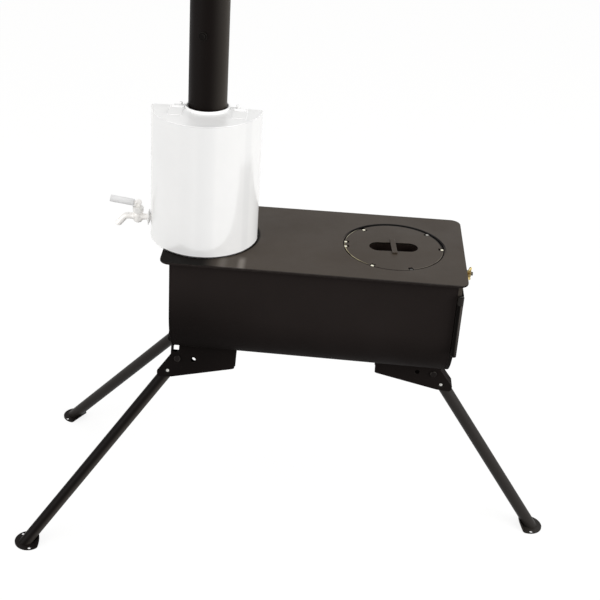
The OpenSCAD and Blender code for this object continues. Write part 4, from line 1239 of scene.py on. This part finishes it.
    def grip(self, flutes, eye):
        """The fluted grip, with a blind hole for its rod."""
        radius, first, last, deep = 5.35, 7.8, 44.2, 14.6
        profile = [(2, 6.6), (4.4, 6.6), (5.2, 7.0), (radius, first)]
        profile += [(radius, first + (last - first) * i / 12) for i in range(1, 12)]
        profile += [(radius, last), (5.2, 45.1), (4.5, 45.6), (0, 45.6)]
        bm = bmesh.new()
        lathe(bm, profile, flutes * 8)
        lathe(bm, [(2, 6.6), (2, deep), (0, deep)], flutes * 8)
        bmesh.ops.remove_doubles(bm, verts=bm.verts[:], dist=1e-5)
        mesh = grown("fluted_grip", in_metres(bm), "grip", Flutes=flutes, Depth=0.22 * MM)
        place = Matrix.Translation((self.x, self.y, self.z + eye * MM))
        mesh.transform(place @ turned(self.lean, "Y"))
        settle("tap_grip_finished", mesh, "tap_lever", ["tap_grip"], "grey_grip", "grip",
               crease=60)


class STOVE_OT_door(bpy.types.Operator):
    """Dress the door, its hinge, air shutter, wing nut and latch"""

    bl_idname = "stove.door"
    bl_label = "Door"

    def execute(self, context):
        self.leaf()
        # The hinge knuckles take the far leg's lighter paint, as painted light
        dressed("hinge_knuckles", "dark_steel", "far_leg", 0.4)
        dressed("hinge_pin", "bare_steel", "dull", 0.5)
        dressed("air_shutter", "black_paint", "paint", 0.4)
        dressed("shutter_stud", "bare_steel", "dull", 0.4)
        dressed("stud_sleeve", "brass", "brass", 0.4)
        dressed("wing_nut", "brass", "brass", 0.7, 3)
        dressed("latch_spindle", "bare_steel", "dull", 0.4)
        dressed("latch_handle", "dark_steel", "inside", 0.5)
        dressed("latch_grip", "black_grip", "dark_grip", 1.2, 3)
        self.thread()
        return {"FINISHED"}

    def leaf(self):
        """The door leaf, whose near edge carries a painted highlight over painted shade."""
        bm = node_shape("door_leaf")
        soften(bm, 0.6, 3)
        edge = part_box("door_leaf")[0].y + 0.003
        for f in bm.faces:
            if f.normal.y < -0.3 and f.calc_center_median().y < edge:
                f.material_index = 1
        piece("door_leaf", bm, "black_paint", "paint", "door_edge")

    def thread(self):
        """The turns of thread that show on the stud beyond the wing nut."""
        mid, _, high = middle("shutter_stud")
        start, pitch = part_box("wing_nut")[0].x + 0.0064, 0.00105
        count = int((high.x - 0.0005 - start) / pitch)
        points = [(start + pitch * i, mid.y, mid.z) for i in range(count)]
        bm = bmesh.new()
        lathe(bm, [(2.7, -0.4), (3.02, -0.1), (3.02, 0.1), (2.7, 0.4)], 32, loop=True)
        mesh = copies_on(points, (1, 0, 0), (0, 1, 0), bm, "dull")
        settle("stud_thread", mesh, body_of("shutter_stud"), [], "bare_steel", "dull")


class STOVE_OT_legs(bpy.types.Operator):
    """Dress the brackets, legs, feet, snap buttons, pivot bolts and nuts"""

    bl_idname = "stove.legs"
    bl_label = "Legs"

    def execute(self, context):
        # Legs and feet take lit and shaded copies of the paint: painted shade on the near leg and
        # the near and far feet, painted light on the far and front legs and the front foot
        for side, leg, foot in (("front", "front_leg", "front_leg"), ("near", "dark_leg", "bolt"),
                                ("far", "far_leg", "bolt")):
            dressed(side + "_bracket", "black_paint", "paint", 0.8, 3)
            dressed(side + "_leg", "black_paint", leg, 0.3, 1)
            dressed(side + "_foot", "black_paint", foot, 0.5)
            dressed(side + "_button", "bare_steel", "button", 1.3, 4)
        dressed("pivot_bolts", "black_paint", "bolt", 1.4, 3)
        dressed("pivot_nuts", "dark_steel", "inside", 0.5)
        return {"FINISHED"}


# ---------------------------------------------------------------- stage

# Where each lamp stands, its size in metres, and its power as a share of the setting
LAMPS = {
    "top_lamp": ((0.1, -0.3, 2.9), (2.6, 2.2), 0.1),
    "left_lamp": ((-2.4, -1.7, 1.25), (2.2, 1.8), 1.0),
    "right_lamp": ((2.5, -1.2, 1.3), (2.0, 1.8), 1.45),
}
LAMP_TARGET, LAMP_COLOUR = (0.0, 0.0, 0.5), (1.0, 0.99, 0.975)

# The camera's lens in millimetres, its shift, its place from the middle of the cooking plate
# in metres, and its turn, its tilt and its roll in radians
SENSOR, LENS, SHIFT_X, SHIFT_Y = 36.0, 71.480, 0.25304, -0.09603
EYE_X, EYE_Y, EYE_Z = 0.017204, -1.715295, 0.868931
EYE_TURN, EYE_TILT, EYE_ROLL = 0.16553, 0.47532, 0.00137

FLOOR_SIZE, FLOOR_GAP, FLOOR_GLOW = 14, 0.0003, 1.04


def seen_by(tree, *rays):
    """1 for rays of some kinds, and 0 for the others."""
    path = add(tree, "ShaderNodeLightPath", give=None)
    kinds = [path.outputs["Is " + ray + " Ray"] for ray in rays]
    seen = kinds[0]
    for kind in kinds[1:]:
        seen = add(tree, "ShaderNodeMath", {0: seen, 1: kind}, operation="ADD",
                   use_clamp=kind == kinds[-1])
    return seen


class STOVE_OT_stage(bpy.types.Operator):
    """Lay the floor and set the lamps, the room light and the camera"""

    bl_idname = "stove.stage"
    bl_label = "Floor, light and camera"

    def execute(self, context):
        scene = context.scene
        stage = scene.stove_stage
        self.floor(stage.shade)
        self.room(scene, stage.sky)
        for name, (where, size, share) in LAMPS.items():
            self.lamp(name, where, size, stage.lamp * share)
        self.camera(scene)
        scene.view_settings.view_transform = "Standard"
        return {"FINISHED"}

    def camera(self, scene):
        """The camera at the photograph's viewing angle."""
        data = bpy.data.cameras.new("camera")
        data.sensor_width, data.lens = SENSOR, LENS
        data.shift_x, data.shift_y = SHIFT_X, SHIFT_Y
        data.clip_start, data.clip_end = 0.05, 60
        view = turned(math.degrees(EYE_TURN), "Z") @ turned(90 - math.degrees(EYE_TILT), "X")
        view = Matrix.Translation((MID_X + EYE_X, EYE_Y, TOP_Z + EYE_Z)) @ view
        scene.camera = placed("camera", data)
        scene.camera.matrix_world = view @ turned(math.degrees(EYE_ROLL), "Z")

    def lamp(self, name, where, size, power):
        """A soft rectangular lamp that faces the stove."""
        data = bpy.data.lights.new(name, "AREA")
        data.shape, data.size, data.size_y, data.energy = "RECTANGLE", *size, power
        data.color = LAMP_COLOUR
        aim = (Vector(LAMP_TARGET) - Vector(where)).to_track_quat("-Z", "Y").to_matrix()
        placed(name, data).matrix_world = Matrix.Translation(where) @ aim.to_4x4()

    def floor(self, shade):
        """A floor that looks white and keeps a part of the stove's shadow."""
        bm = bmesh.new()
        bmesh.ops.create_grid(bm, x_segments=1, y_segments=1, size=FLOOR_SIZE)
        mesh = mesh_of(bm)
        mesh.transform(Matrix.Translation((0, 0, -FLOOR_GAP)))
        made = placed("floor", mesh)
        finish = bpy.data.materials.new("pale_floor")
        finish.use_nodes = True
        tree = finish.node_tree
        tree.nodes.clear()
        seen = seen_by(tree, "Camera", "Glossy")
        part = add(tree, "ShaderNodeMath", {0: seen, 1: 1 - shade}, operation="MULTIPLY")
        dark, pale = (0.2, 0.2, 0.2, 1), (0.97, 0.97, 0.97, 1)
        tone = add(tree, "ShaderNodeMix", {0: seen, 6: dark, 7: pale}, 2, data_type="RGBA")
        matt = add(tree, "ShaderNodeBsdfDiffuse", {"Color": tone})
        glow = add(tree, "ShaderNodeEmission", {"Strength": FLOOR_GLOW})
        mix = add(tree, "ShaderNodeMixShader", {0: part, 1: matt, 2: glow})
        add(tree, "ShaderNodeOutputMaterial", {"Surface": mix}, None)
        mesh.materials.append(finish)

    def room(self, scene, sky):
        """Even light from all round, and a white background."""
        scene.world = bpy.data.worlds.new("room")
        scene.world.use_nodes = True
        tree = scene.world.node_tree
        tree.nodes.clear()
        seen = seen_by(tree, "Camera", "Glossy", "Transmission")
        light, shown = [
            add(tree, "ShaderNodeBackground", {"Color": colour, "Strength": strength})
            for colour, strength in (((1.0, 0.995, 0.985, 1), sky), ((1, 1, 1, 1), 1.0))
        ]
        mix = add(tree, "ShaderNodeMixShader", {0: seen, 1: light, 2: shown})
        add(tree, "ShaderNodeOutputWorld", {"Surface": mix}, None)


class STOVE_PT_panel(bpy.types.Panel):
    """The stove's settings and builders"""

    bl_idname = "STOVE_PT_panel"
    bl_label = "Tent stove"
    bl_space_type = "VIEW_3D"
    bl_region_type = "UI"
    bl_category = "Tent stove"

    def draw(self, context):
        layout = self.layout
        for group in SETTINGS:
            settings = getattr(context.scene, group)
            column = layout.column(align=True)
            for key in settings.__annotations__:
                column.prop(settings, key)
        for operator in OPERATORS:
            layout.operator(operator.bl_idname)


SETTINGS = {"stove_paint": StovePaint, "stove_metal": StoveMetal, "stove_stage": StoveStage}
OPERATORS = (
    STOVE_OT_finishes, STOVE_OT_firebox, STOVE_OT_hotplate, STOVE_OT_flue, STOVE_OT_tank,
    STOVE_OT_tap, STOVE_OT_door, STOVE_OT_legs, STOVE_OT_stage,
)


def register():
    """Makes the settings, the builders and the panel known to Blender."""
    for kind in (*SETTINGS.values(), *OPERATORS, STOVE_PT_panel):
        bpy.utils.register_class(kind)
    for name, kind in SETTINGS.items():
        setattr(bpy.types.Scene, name, PointerProperty(type=kind))


def unregister():
    """Takes them away again."""
    for name in SETTINGS:
        delattr(bpy.types.Scene, name)
    for kind in (STOVE_PT_panel, *reversed(OPERATORS), *SETTINGS.values()):
        bpy.utils.unregister_class(kind)


def main():
    """Runs every builder in order."""
    register()
    for operator in OPERATORS:
        group, name = operator.bl_idname.split(".")
        getattr(getattr(bpy.ops, group), name)()


if __name__ == "__main__":
    main()
